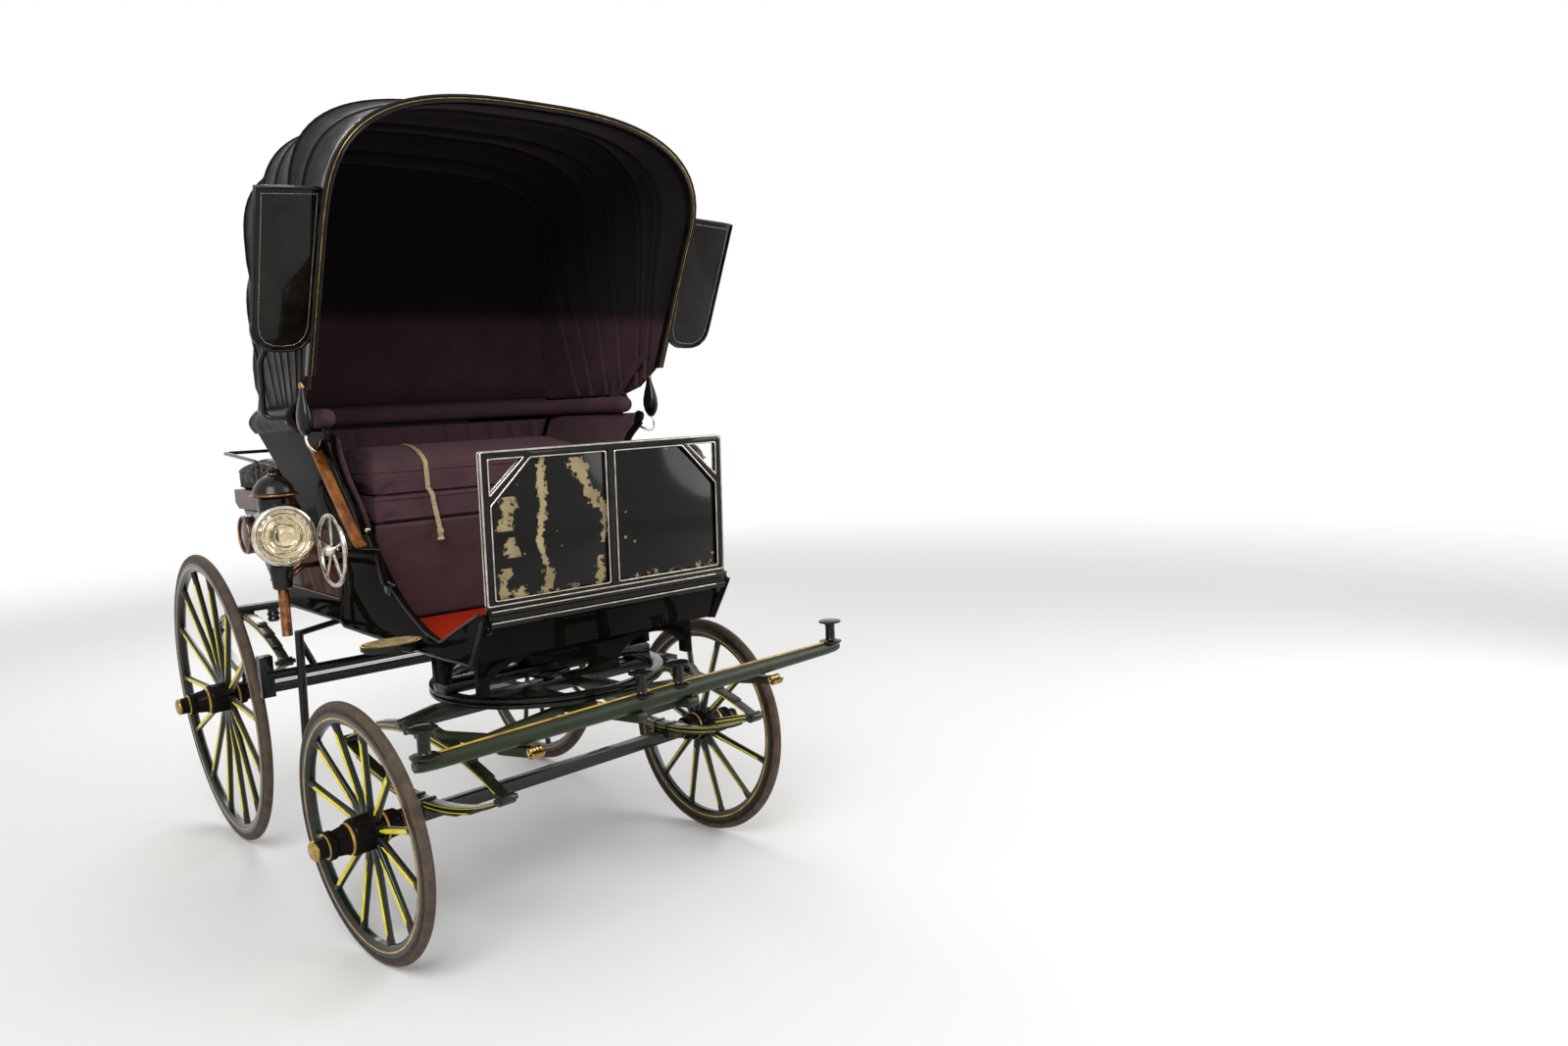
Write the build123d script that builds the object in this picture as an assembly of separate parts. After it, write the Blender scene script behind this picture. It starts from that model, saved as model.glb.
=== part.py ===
from build123d import *
import os
from math import atan2, cos, hypot, pi, radians, sin

os.makedirs("parts", exist_ok=True)

# Millimetres. X is across, + to the driver's left; Y runs from the front axle to the back; Z is up.
MID_Y = 655                # the exported origin lies this far behind the front axle
TRACK = 710                # centre plane to the rim
CAMBER = 2.6               # degrees the wheel tops lean out
LOCK = 5.1                 # degrees the fore carriage stands turned
BASE = 1440                # front axle to rear axle
RUNNING = 0.05             # clearance of a turning fit
GAP = 6                    # between the two turning plates
PAIR = ((1, "left"), (-1, "right"))

# Wheels: tread radius, axle place, number of spokes, inner end of the hub from the rim plane.
FRONT = dict(r=418, y=0, spokes=12, back=-112)
REAR = dict(r=590, y=BASE, spokes=14, back=-96)
TYRE_W, TYRE_D = 34, 30
FELLOE_W, FELLOE_D = 36, 40
ARM_R = 22
DISH = 26                  # how far the spokes lean out from hub to rim

# Springs: place of the seat, half length, z of the inner leaf below, of the eyes, of the inner leaf above.
SPRING_F = dict(x=505, y=0, half=500, low=474, eye=575, top=682, leaf=7, width=38)
SPRING_R = dict(x=585, y=BASE, half=476, low=666, eye=783, top=896, leaf=7, width=38)
SHARES = (1, 0.82, 0.64, 0.46)          # length of each leaf against the main leaf

BAR = dict(half=832, y=-612, z=782, r=27)
RING = dict(r=400, width=44, thick=12)
BODY_IN, PANEL = 433, 22                # inner face and thickness of the body sides
FLOOR_Z = 934                           # underside of the body
SEAT_Z = 1320                           # top of the seat riser
LEAN = 21                               # degrees the seat sides lean out

FORE_BED_Z = SPRING_F["top"] + len(SHARES) * SPRING_F["leaf"]
LOW_RING_Z = FORE_BED_Z + 44
UNDER_RING = LOW_RING_Z - 2
TOP_RING_Z = LOW_RING_Z + RING["thick"] + GAP
TRANSOM_Z = TOP_RING_Z + RING["thick"] + 36
BED_LOW = 714                           # underside of the bed's tails and of the inner futchells
BED_HALF = 45                           # half thickness of the transoms over the turntable
INNER_X = (84, 120)                     # the inner futchells, across
PIN_R = 20                              # kingpin
REAR_TOP = SPRING_R["top"] + len(SHARES) * SPRING_R["leaf"]

UP = (Align.CENTER, Align.CENTER, Align.MIN)
nodes = {}


def put(name, shape, *fit):
    """Keep a piece, let into the earlier ones named."""
    for other in fit:
        shape = shape - nodes[other]
    keep = [s for s in shape.solids() if s.volume > 60]
    nodes[name] = keep[0] if len(keep) == 1 else Compound(children=keep)


def rod(a, b, r):
    """A round rod from a to b."""
    d = Vector(b) - Vector(a)
    return Plane(origin=a, z_dir=d) * Cylinder(r, d.length, align=UP)


def beam(a, b, w, h):
    """A rectangular bar from a to b; h stands upright."""
    d = Vector(b) - Vector(a)
    x = Vector(0, 0, 1).cross(d)
    x = Vector(1, 0, 0) if x.length < 1e-6 else x
    return Plane(origin=a, x_dir=x, z_dir=d) * Box(w, h, d.length, align=UP)


def tube(points, r, bend=3):
    """A round iron bent through the points; bend is its inner radius over its own."""
    path = FilletPolyline(*points, radius=bend * r) if len(points) > 2 else Line(*points)
    return sweep(Plane(path @ 0, z_dir=path % 0) * Circle(r), path)


def outline(*steps):
    """A closed face; a step of two numbers is a straight, of four an arc through its first pair."""
    here, edges = steps[0], []
    for step in steps[1:] + (steps[0],):
        end = step[-2:]
        if end != here:
            edges.append(ThreePointArc(here, step[:2], end) if len(step) == 4 else Line(here, end))
        here = end
    return make_face(edges)


def side_plate(face, x0, x1):
    """A side outline in (y, z), from x0 to x1."""
    return Pos(min(x0, x1), 0, 0) * extrude(Plane.YZ * face, abs(x1 - x0), dir=(1, 0, 0))


def cross_plate(face, y0, y1):
    """A front outline in (x, z), from y0 to y1."""
    return Pos(0, y0, 0) * extrude(Plane.XZ * face, y1 - y0, dir=(0, 1, 0))


def turning(*profile):
    """A solid turned about Z from (radius, z) points."""
    return revolve(make_face(Plane.XZ * Polyline(*profile, close=True)), Axis.Z)


def mirror_x(shape, s):
    return shape if s > 0 else mirror(shape, about=Plane.YZ)


def both(shape):
    return shape + mirror(shape, about=Plane.YZ)


def turned(shape):
    return Rot(0, 0, LOCK) * shape


def wheel_place(w, s):
    """Put a wheel built about +X onto its axle arm."""
    return Pos(s * TRACK, w["y"], w["r"]) * Rot(0, CAMBER if s > 0 else 180 - CAMBER, 0)


def wheel(w):
    """Turned hub, dished spokes and felloe about the X axis; +X is the outer side."""
    rim_o = w["r"] - TYRE_D
    rim_i = rim_o - FELLOE_D
    half = FELLOE_W / 2
    felloe = revolve(make_face(Polyline((-half, rim_o), (half, rim_o), (half, rim_i + 9), (half - 8, rim_i),
                                        (8 - half, rim_i), (-half, rim_i + 9), close=True)), Axis.X)
    # Hub outline from the back: place along the arm, radius.
    hub = [(w["back"], 0), (w["back"], 40), (w["back"] + 8, 44), (-70, 46), (-66, 52), (-58, 52),
           (-52, 56), (-40, 58), (34, 58), (42, 54), (46, 49), (54, 49), (58, 45), (94, 40), (98, 45),
           (112, 45), (116, 38), (122, 33), (154, 31), (160, 27), (164, 20), (164, 0)]
    body = revolve(make_face(Polyline(*hub, close=True)), Axis.X)
    reach = rim_i - 50 + 12
    long = hypot(DISH, reach)
    root = Plane(origin=(-DISH, 0, 50), x_dir=(0, 1, 0), z_dir=(DISH, 0, reach))
    spoke = loft([root * Ellipse(12, 16), root.offset(90) * Ellipse(13, 14),
                  root.offset(long) * Ellipse(11, 12)], ruled=True)
    pitch = 360 / w["spokes"]
    body = body + [felloe] + [Rot(pitch * (k + 0.5), 0, 0) * spoke for k in range(w["spokes"])]
    bore = Rot(0, 90, 0) * Pos(0, 0, w["back"] - 1) * Cylinder(ARM_R + RUNNING, 134 - w["back"], align=UP)
    return body - bore


def tyre(w):
    """A solid rubber tyre with a round tread."""
    h, low = TYRE_W / 2, w["r"] - TYRE_D
    return revolve(outline((-h, low), (-h, low + 14), (0, w["r"], h, low + 14), (h, low)), Axis.X)


def arm(w, s):
    """The axle arm the hub runs on, with its collar."""
    back = w["back"]
    a = Rot(0, 90, 0) * Pos(0, 0, back - 40) * Cylinder(ARM_R, 167 - back, align=UP)
    c = Rot(0, 90, 0) * Pos(0, 0, back - 22) * Cylinder(34, 16, align=UP)
    return wheel_place(w, s) * (a + c)


def leaf_arc(s, z_mid, k, share):
    """One spring leaf outline; k counts from the main leaf outwards."""
    rise = s["eye"] - z_mid
    h = abs(rise)
    up = 1 if rise > 0 else -1
    rad = (s["half"] ** 2 + h * h) / (2 * h)
    centre = z_mid + up * rad
    a = atan2(s["half"], rad - h) * share
    arcs = []
    for r in (rad + k * s["leaf"], rad + (k + 1) * s["leaf"]):
        arcs.append([(s["y"] + r * sin(a * q), centre - up * r * cos(a * q)) for q in (-1, 0, 1)])
    (p0, p1, p2), (q0, q1, q2) = arcs
    return outline(p0, p1 + p2, q2, q1 + q0)


def spring(s, side):
    """A full elliptic spring, four leaves below and four above, with its eyes, bolts and middle clips."""
    x0, x1 = side * s["x"] - s["width"] / 2, side * s["x"] + s["width"] / 2
    leaves = [side_plate(leaf_arc(s, z, k, share), x0, x1) for z in (s["low"], s["top"])
              for k, share in enumerate(SHARES)]
    eye = Rot(0, 90, 0) * (Cylinder(17, s["width"] + 12) + Cylinder(9, s["width"] + 34))
    eyes = [Pos(side * s["x"], s["y"] + e * s["half"], s["eye"]) * eye for e in (-1, 1)]
    stack = len(SHARES) * s["leaf"]
    clips = [Pos(side * s["x"], s["y"] + e * 34, z) * Box(s["width"] + 14, 14, stack + 8)
             for e in (-1, 1) for z in (s["low"] - stack / 2, s["top"] + stack / 2)]
    return leaves[0] + leaves[1:] + eyes + clips


# Fore carriage, square to its own axle, then turned as one.
def axle(w, carried, z):
    """A straight axle bar with its spring seats and arms."""
    low = carried["low"] - len(SHARES) * carried["leaf"]
    bar = Pos(0, w["y"], z) * Box(2 * (TRACK + w["back"] - 12), 46, 40)
    bar += [Pos(s * carried["x"], w["y"], z) * Box(44, 96, low - z, align=UP) for s, _ in PAIR]
    return bar + [arm(w, s) for s, _ in PAIR]


put("front_axle", turned(axle(FRONT, SPRING_F, 420)))
for s, side in PAIR:
    put(f"front_spring_{side}", turned(spring(SPRING_F, s)), "front_axle")

bed = outline((-560, FORE_BED_Z), (560, FORE_BED_Z), (560, FORE_BED_Z + 20), (430, LOW_RING_Z),
              (-430, LOW_RING_Z), (-560, FORE_BED_Z + 20))
bed = cross_plate(bed, -34, 34) - Cylinder(PIN_R + RUNNING, 2000)
tail = outline((30, UNDER_RING), (360, UNDER_RING), (360, LOW_RING_Z - 24), (30, BED_LOW))
put("fore_bed", turned(bed + both(side_plate(tail, *INNER_X))), "front_spring_left", "front_spring_right")
plate = Cylinder(RING["r"], RING["thick"], align=UP) - Cylinder(RING["r"] - RING["width"], 60)
put("fore_ring", Pos(0, 0, LOW_RING_Z) * plate)

# Futchells: the inner pair runs under the ring to the bar, the outer pair curves out to the stay irons.
inner = outline((-34, UNDER_RING), (-34, BED_LOW), (-200, 704, -430, 712), (-640, 728),
                (-646, 744, -640, 756), (-404, UNDER_RING))
futchells = both(side_plate(inner, *INNER_X)) + Pos(0, -560, 720) * Box(180, 44, 26, align=UP)
STAY = 26                  # side of the outer stays
waist, stay_end = (430, -300, 700), (482, -628, 732)
outer = FilletPolyline((500, -60, 716), (512, -170, 706), waist, (486, -470, 712), stay_end, radius=60)
futchells += both(sweep(Plane(outer @ 0, z_dir=outer % 0) * Rectangle(STAY, STAY), outer))
futchells += both(beam(waist, (90, -240, BED_LOW), 24, STAY))
put("futchells", turned(futchells), "front_spring_left", "front_spring_right")
scroll = Pos(stay_end[0], -636, 738) * Rot(0, 90, 0) * (Cylinder(19, 30) + Cylinder(9, 44))
put("stay_scrolls", turned(both(scroll)), "futchells")

end = BAR["half"]
taper = [(0, -end), (16, -end), (20, 20 - end), (22, 60 - end), (BAR["r"] + 2, 0),
         (22, end - 60), (20, end - 20), (16, end), (0, end)]
bar = Pos(0, BAR["y"], BAR["z"]) * Rot(0, 90, 0) * turning(*taper)
put("splinter_bar", turned(bar), "futchells", "stay_scrolls")
# Roller bolts: place along the bar, height, radius of the top disc.
BOLTS = [(-800, 84, 40), (-75, 80, 38), (75, 80, 38), (800, 84, 40)]
WAIST_R = 17
rollers = [Pos(x, BAR["y"], BAR["z"] + 17)
           * turning((0, 0), (r - 3, 0), (r, 3), (r, 7), (WAIST_R + 3, 12), (WAIST_R, 18),
                     (WAIST_R, h - 22), (WAIST_R + 4, h - 12), (r, h - 9), (r, h - 3), (12, h),
                     (0, h)) for x, h, r in BOLTS]
put("roller_bolts", turned(Compound(children=rollers)), "splinter_bar")

# Turntable top and the transoms that carry the body.
put("top_ring", Pos(0, 0, TOP_RING_Z) * plate)
low, wide = TOP_RING_Z + RING["thick"], RING["r"]
top = cross_plate(outline((-wide, low), (wide, low), (wide, TRANSOM_Z - 12), (wide - 12, TRANSOM_Z),
                          (12 - wide, TRANSOM_Z), (-wide, TRANSOM_Z - 12)), -BED_HALF, BED_HALF)
top += Pos(0, 0, TOP_RING_Z) * Cylinder(75, 20, align=UP)
top += Pos(0, 0, FORE_BED_Z - 40) * Cylinder(PIN_R, TOP_RING_Z - FORE_BED_Z + 50, align=UP)
top += Pos(0, 0, FORE_BED_Z - 40) * Cylinder(PIN_R + 14, 26, align=UP)
put("top_bed", top, "top_ring")
ARCH = outline((100, TRANSOM_Z - 1), (370, TRANSOM_Z - 1), (370, 860), (235, 916, 100, 860))


def transom(y0, y1, top_z, eye):
    """A cross timber with an arch on each side and, where eye is set, an oval eye in the middle."""
    wide = RING["r"]
    board = cross_plate(outline((-wide, TRANSOM_Z), (wide, TRANSOM_Z), (wide, top_z), (-wide, top_z)), y0, y1)
    board -= both(cross_plate(ARCH, y0 - 1, y1 + 1))
    return board - cross_plate(Pos(-60, 850) * Ellipse(66, 24), y0 - 1, y1 + 1) if eye else board


put("front_pillow", transom(-BED_HALF, BED_HALF, FLOOR_Z, False))

# Rear carriage.
put("rear_axle", axle(REAR, SPRING_R, 592))
for s, side in PAIR:
    put(f"rear_spring_{side}", spring(SPRING_R, s), "rear_axle")
rear_bed = Pos(0, BASE, REAR_TOP) * Box(1250, 50, 26, align=UP)
rear_bed += Pos(0, BASE, 917) * Box(820, 60, 73, align=UP)
buffer = turning((0, 0), (20, 4), (25, 14), (20, 24), (26, 34), (20, 44), (24, 60), (0, 60))
rear_bed += both(Pos(475, BASE, REAR_TOP - 60) * buffer)
put("rear_bed", rear_bed, "rear_spring_left", "rear_spring_right")

# Body sides: dash foot, step-in sweep, seat riser, boot.
sill = outline((-455, 1104), (-300, 1040, -167, 985), (-60, 1006, 122, 1086), (240, 1170, 372, SEAT_Z),
               (700, SEAT_Z), (700, 1030), (1400, 1030), (1400, 951), (700, 951), (660, FLOOR_Z),
               (60, FLOOR_Z), (-375, 940), (-470, 1085))
for s, side in PAIR:
    put(f"side_panel_{side}", side_plate(sill, s * BODY_IN, s * (BODY_IN + PANEL)))
BOARD_Z = 952              # top of the floor boards
floor = outline((-452, 1083), (-375, 944), (-357, 944), (-330, 1028), (-167, 966), (60, FLOOR_Z),
                (684, FLOOR_Z), (700, 951), (1400, 951), (1400, 969), (684, 969), (676, BOARD_Z),
                (60, BOARD_Z), (-160, 984), (-322, 1055), (-440, 1101))
put("floor", side_plate(floor, -BODY_IN, BODY_IN), "front_pillow")
put("front_transom", transom(-310, -270, 1000, True), "floor")
carpet = outline((440, BOARD_Z), (60, BOARD_Z), (-160, 984), (-162, 990), (60, 959), (440, 959))
put("carpet", side_plate(carpet, 2 - BODY_IN, BODY_IN - 2))

# Driving seat.
riser = outline((478, BOARD_Z), (366, SEAT_Z), (700, SEAT_Z), (700, 1304), (388, 1304), (495, BOARD_Z))
put("seat_box", side_plate(riser, -BODY_IN, BODY_IN))
boot_low = outline((700, 969), (1400, 969), (1400, 990), (1475, 990), (1830, SEAT_Z), (700, SEAT_Z))
boot_high = outline((700, 1030), (1524, 1030), (1830, SEAT_Z), (700, SEAT_Z))
inside = outline((716, 985), (1390, 985), (1390, 1006), (1466, 1006), (1800, 1304), (716, 1304))
boot = side_plate(boot_low, -432, 432) + side_plate(boot_high, -445, 445) - side_plate(inside, -416, 416)
put("boot", boot, "side_panel_left", "side_panel_right")
side = outline((350, 0), (312, 90, 300, 200), (262, 300, 215, 350), (212, 386, 250, 386), (930, 386),
               (855, 0))
for s, name in PAIR:
    out = (cos(radians(LEAN)), 0, -sin(radians(LEAN)))
    board = Plane(origin=(BODY_IN + PANEL, 0, 1300), x_dir=(0, 1, 0), z_dir=out)
    put(f"seat_side_{name}", mirror_x(extrude(board * side, 20), s), f"side_panel_{name}", "boot")
RECLINE = Plane(origin=(0, 862, SEAT_Z), x_dir=(1, 0, 0), z_dir=(0, -cos(radians(10)), sin(radians(10))))
back = RECLINE * Polyline((-480, 0), (480, 0), (600, 350), (-600, 350), close=True)
put("seat_back", extrude(make_face(back), -18), "seat_side_left", "seat_side_right", "boot")
pad = RECLINE * Polyline((-440, 18), (440, 18), (566, 340), (-566, 340), close=True)
put("back_cushion", extrude(make_face(pad), 52), "seat_side_left", "seat_side_right", "seat_back")
SEAT_HALF = 430
cushion = outline((352, 1321), (800, 1321), (800, 1425), (350, 1415))
put("seat_cushion", side_plate(cushion, -SEAT_HALF, SEAT_HALF), "back_cushion")
cushion = outline((350, 1416), (800, 1426), (800, 1540), (560, 1572, 346, 1520))
put("driver_cushion", side_plate(cushion, -SEAT_HALF, SEAT_HALF), "back_cushion", "seat_cushion")
ROLL_R, tip, corner = 34, (578, 300, 1694), (600, 905, 1696)
route = [(-x, y, z) for x, y, z in (tip, corner)] + [corner, tip]
roll = tube(route, ROLL_R, bend=5)
roll += [Pos(*p) * Sphere(ROLL_R) for p in (route[0], route[-1])]
put("seat_roll", roll, "seat_side_left", "seat_side_right", "seat_back", "back_cushion")
fall = outline((468, 960), (356, 1321), (344, 1321), (456, 960))
put("seat_fall", side_plate(fall, 2 - SEAT_HALF, SEAT_HALF - 2), "seat_cushion")

# Dash: its foot line, height and lean.
DASH = dict(half=433, y=-463, z=1085, high=481, lean=22)


def on_dash(x, up):
    """A point of the dash; up runs from 0 at the foot to 1 at the top edge."""
    return (x, DASH["y"] - DASH["lean"] * up, DASH["z"] + DASH["high"] * up)


w = DASH["half"] - 10
bars = [((-w, 0), (-w, 1)), ((w, 0), (w, 1)), ((-w, 1), (w, 1)), ((-w, 0), (w, 0)), ((0, 0.08), (0, 1)),
        ((-w, 0.7), (160 - w, 1)), ((w, 0.7), (w - 160, 1)), ((-w, 0.08), (w, 0.08))]
irons = [beam(on_dash(*a), on_dash(*b), 20, 20) for a, b in bars]
irons += [rod((-w - 6, -448, 1066), (w + 6, -448, 1066), 8)]
irons += [beam((s * (w + 1), -455, 1098), (s * (w + 1), -440, 1040), 18, 14) for s, _ in PAIR]
put("dash_frame", irons[0] + irons[1:], "side_panel_left", "side_panel_right", "floor")
leather = outline((-w, 40), (w, 40), (w, 346), (w - 150, 481), (150 - w, 481), (-w, 346))
face = Plane(origin=on_dash(0, 0), x_dir=(1, 0, 0), z_dir=(0, -DASH["high"], -DASH["lean"]))
put("dash_leather", extrude(face * leather, 3, both=True), "dash_frame")

# Hood bows. Each row: half width, foot (y, z), shoulder (y, z), crown (y, z), squareness of the corner.
BOWS = [(665, (185, 1827), (-32, 2253), (-157, 2656), 2.8),
        (662, (245, 1790), (120, 2280), (40, 2680), 3.0),
        (660, (300, 1760), (215, 2290), (200, 2728), 3.2),
        (648, (390, 1735), (400, 2300), (375, 2700), 3.2),
        (636, (480, 1736), (560, 2310), (550, 2716), 3.2),
        (620, (570, 1734), (720, 2290), (710, 2672), 3.2),
        (612, (660, 1734), (850, 2260), (860, 2652), 3.4),
        (606, (760, 1734), (905, 2000), (945, 2380), 3.6),
        (602, (850, 1734), (935, 1820), (955, 2080), 3.8),
        (598, (900, 1734), (940, 1738), (952, 1742), 4.0)]
HOOD_T = 6


def arch(half, foot, shoulder, crown, square, inset=0, n=14):
    """One bow from its right foot over the crown to its left foot, drawn in by inset."""
    out = []
    for i in range(5):
        q = i / 5
        y, z = (a + q * (b - a) for a, b in zip(foot, shoulder))
        out.append((half - inset, y, z))
    rise = crown[1] - shoulder[1]
    for i in range(n + 1):
        t = pi / 2 * i / n
        up = sin(t) ** (2 / square)
        lean = 1 - (1 - up) ** 2
        out.append(((half - inset) * cos(t) ** (2 / square), shoulder[0] + lean * (crown[0] - shoulder[0]),
                    shoulder[1] + (rise - inset) * up))
    return [(-x, y, z) for x, y, z in out] + [p for p in out[-2::-1]]


def sheet(outer, inner):
    """A closed skin between two grids of points of one size."""
    m, n = len(outer), len(outer[0])
    faces = []

    def patch(a, b, c, d):
        for tri in ((a, b, c), (a, c, d)):
            if len({tuple(round(v, 4) for v in p) for p in tri}) == 3:
                faces.append(Face(Wire.make_polygon([Vector(*p) for p in tri], close=True)))

    for i in range(m - 1):
        for j in range(n - 1):
            patch(outer[i][j], outer[i + 1][j], outer[i + 1][j + 1], outer[i][j + 1])
            patch(inner[i][j], inner[i][j + 1], inner[i + 1][j + 1], inner[i + 1][j])
    for j in range(n - 1):
        patch(outer[0][j], outer[0][j + 1], inner[0][j + 1], inner[0][j])
        patch(outer[-1][j + 1], outer[-1][j], inner[-1][j], inner[-1][j + 1])
    for i in range(m - 1):
        patch(outer[i][0], inner[i][0], inner[i + 1][0], outer[i + 1][0])
        patch(outer[i + 1][-1], inner[i + 1][-1], inner[i][-1], outer[i][-1])
    return Solid(Shell(faces))


outer = [arch(*b) for b in BOWS]
inner = [arch(*b, inset=HOOD_T) for b in BOWS[:-2]]
# Near the seat the skin lies back, so its inner face is drawn forward too.
for drop, bow in zip((6, 0), BOWS[-2:]):
    inner.append([(x * 0.985, y - 10, z - drop) for x, y, z in arch(*bow, inset=HOOD_T)])
put("hood_leather", sheet(outer, inner))
front = arch(*BOWS[0], inset=-6)
rear = arch(*BOWS[0], inset=16)
put("hood_hoop", sheet([[(x, y - d, z) for x, y, z in front] for d in (32, 1)],
                       [[(x, y - d, z) for x, y, z in rear] for d in (32, 1)]))
flap = outline((0, 0), (190, -8), (182, -400), (165, -478, 92, -496), (18, -478, 5, -400))
for s, name in PAIR:
    place = Plane(origin=(660, -79, 2360), x_dir=(0.997, -0.075, -0.03), z_dir=(-0.066, -0.905, -0.42))
    put(f"hood_wing_{name}", mirror_x(extrude(place * flap, 14), s), "hood_hoop", "hood_leather")
prop = tube([(676, 215, 2120), (705, 500, 1890), (705, 520, 1705), (612, 450, 1700)], 9)
prop += Pos(648, 452, 1700) * Rot(0, 90, 0) * Cylinder(17, 16)
# Each hood stick runs from the prop's pivot up inside a bow.
sticks = [beam((618, 452, 1704), (half - 22, foot[0] + 26, foot[1] + 60), 22, 6)
          for half, foot, *_ in (BOWS[0], BOWS[3])]
put("hood_irons", both(prop + sticks), "hood_leather", "hood_hoop", "seat_side_left", "seat_side_right",
    "seat_roll")

# Groom's seat.
board = outline((1330, 1350), (1380, SEAT_Z), (1850, SEAT_Z), (1896, 1345), (1896, 1405), (1330, 1405))
put("rear_seat_board", side_plate(board, -458, 458), "boot")
cushion = outline((1340, 1405), (1888, 1405), (1880, 1490), (1610, 1530, 1345, 1500))
put("rear_cushion", side_plate(cushion, -448, 448))
RAIL = dict(x=480, front=1441, back=1905, low=1534, high=1566)
x, front, back = RAIL["x"], RAIL["front"], RAIL["back"]
arm_side = [(x, back, RAIL["high"]), (x, front, RAIL["low"]), (x, front, 1470)]
rail = tube([(-x, y, z) for x, y, z in arm_side[::-1]] + arm_side, 8)
for s, _ in PAIR:
    rail += rod((s * x, front, 1400), (s * x, front, 1475), 9)
    rail += rod((s * 452, front, 1396), (s * 486, front, 1396), 9)
    rail += rod((s * 250, back, 1370), (s * 250, back, RAIL["high"]), 7)
put("rear_rail", rail, "rear_seat_board", "rear_cushion")

# Lamps: place of the lens, radius of the case.
LAMP = dict(x=795, y=120, z=1342, r=86)


def lamp(s):
    """A round side lamp with its hooded chimney, side glass and tapered socket."""
    x, y, z = s * LAMP["x"], LAMP["y"], LAMP["z"]
    lying = Pos(x, y, z) * Rot(-90, 0, 0)
    case = lying * turning((0, 12), (82, 12), (84, 20), (86, 60), (80, 120), (66, 150), (40, 164), (0, 166))
    hat = turning((0, 60), (48, 60), (50, 112), (66, 120), (68, 127), (62, 131), (56, 150), (40, 172),
                  (20, 184), (9, 187), (9, 194), (13, 200), (8, 208), (0, 209))
    port = turning((0, 70), (58, 70), (60, 92), (56, 98), (50, 94), (0, 92))
    foot = turning((0, -70), (40, -70), (34, -92), (33, -96), (36, -100), (28, -168), (22, -172), (0, -172))
    case += Pos(x, y + 70, z) * hat
    case += Pos(x, y + 70, z + 10) * Rot(0, s * 90, 0) * port
    return case + Pos(x, y + 70, z) * foot


stems = []
for s, name in PAIR:
    put(f"lamp_{name}", lamp(s))
    x, y, z = s * LAMP["x"], LAMP["y"], LAMP["z"]
    bracket = [(x, y + 70, z - 150), (s * 700, 300, 1221), (s * 600, 500, 1197), (s * 440, 560, 1190)]
    stems.append(rod((x, y + 70, z - 320), (x, y + 70, z - 160), 16) + tube(bracket, 10))
lens = Rot(-90, 0, 0) * turning((0, -24), (40, -18), (70, -4), (82, 6), (94, 4), (96, 12), (90, 20),
                                (84, 14), (0, 14))
lenses = [Pos(s * LAMP["x"], LAMP["y"], LAMP["z"]) * lens for s, _ in PAIR]
put("lamp_lenses", Compound(children=lenses), "lamp_left", "lamp_right")
put("lamp_stems", Compound(children=stems), "lamp_left", "lamp_right", "side_panel_left", "side_panel_right",
    "seat_side_left", "seat_side_right")

# Brake: hand wheel, screw, hangers and the bar with its two blocks.
HAND = dict(x=-664, y=100, z=1282, r=118)
grip = [Rot(72 * k, 0, 0) * rod((0, 0, 14), (0, 0, HAND["r"] - 10), 5) for k in range(5)]
grip.append(Rot(0, 90, 0) * turning((0, -24), (12, -24), (20, -8), (20, 10), (12, 18), (0, 20)))
rim = revolve(Pos(0, HAND["r"] - 8) * RegularPolygon(8, 10), Axis.X)
put("brake_wheel", Pos(HAND["x"], HAND["y"], HAND["z"]) * (rim + grip))
shaft = rod((HAND["x"] + 22, HAND["y"], HAND["z"]), (-BODY_IN + 2, HAND["y"], HAND["z"]), 11)
knee = (-500, 196, 1130)
shaft += rod((knee[0], HAND["y"], HAND["z"]), knee, 11) + rod(knee, (-440, 200, 1120), 11)
put("brake_shaft", shaft, "side_panel_right", "seat_side_right", "brake_wheel", "seat_box")
pads = []
for s, name in PAIR:
    pad = Pos(s * 565, -60, 977) * extrude(Ellipse(96, 66), 16)
    pad += Pos(s * 565, -60, 970) * extrude(Ellipse(88, 58), 8)
    iron = tube([(s * 540, -60, 972), (s * 500, -40, 955), (s * 440, 20, 950)], 11)
    pads.append(pad + iron)
put("steps", Compound(children=pads), "side_panel_left", "side_panel_right", "floor")
BRAKE_Y, BRAKE_Z = 800, 775
brake = rod((-700, BRAKE_Y, BRAKE_Z), (700, BRAKE_Y, BRAKE_Z), 17)
for s, _ in PAIR:
    brake += Pos(s * 702, BRAKE_Y + 8, 700) * Box(46, 46, 150, align=UP)
    brake += rod((s * 590, 752, 930), (s * 590, BRAKE_Y - 10, 490), 15)
    brake += rod((s * 590, 752, 922), (s * 440, 752, 945), 11)
    brake += beam((s * 590, 756, 900), (s * 530, BRAKE_Y, 782), 20, 14)
put("brake_bar", brake, "side_panel_left", "side_panel_right", "floor")

for w, end, turn in ((FRONT, "front", LOCK), (REAR, "rear", 0)):
    plain, rubber = wheel(w), tyre(w)
    for s, name in PAIR:
        place = Rot(0, 0, turn) * wheel_place(w, s)
        put(f"{end}_wheel_{name}", place * plain)
        put(f"{end}_tyre_{name}", place * rubber)

for name, shape in nodes.items():
    shape = Pos(0, -MID_Y, 0) * shape
    shape.label = name
    export_step(shape, f"parts/{name}.step")
    print(name, len(shape.solids()), round(shape.volume / 1000), "cm3", "" if shape.is_valid else "INVALID")
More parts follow.
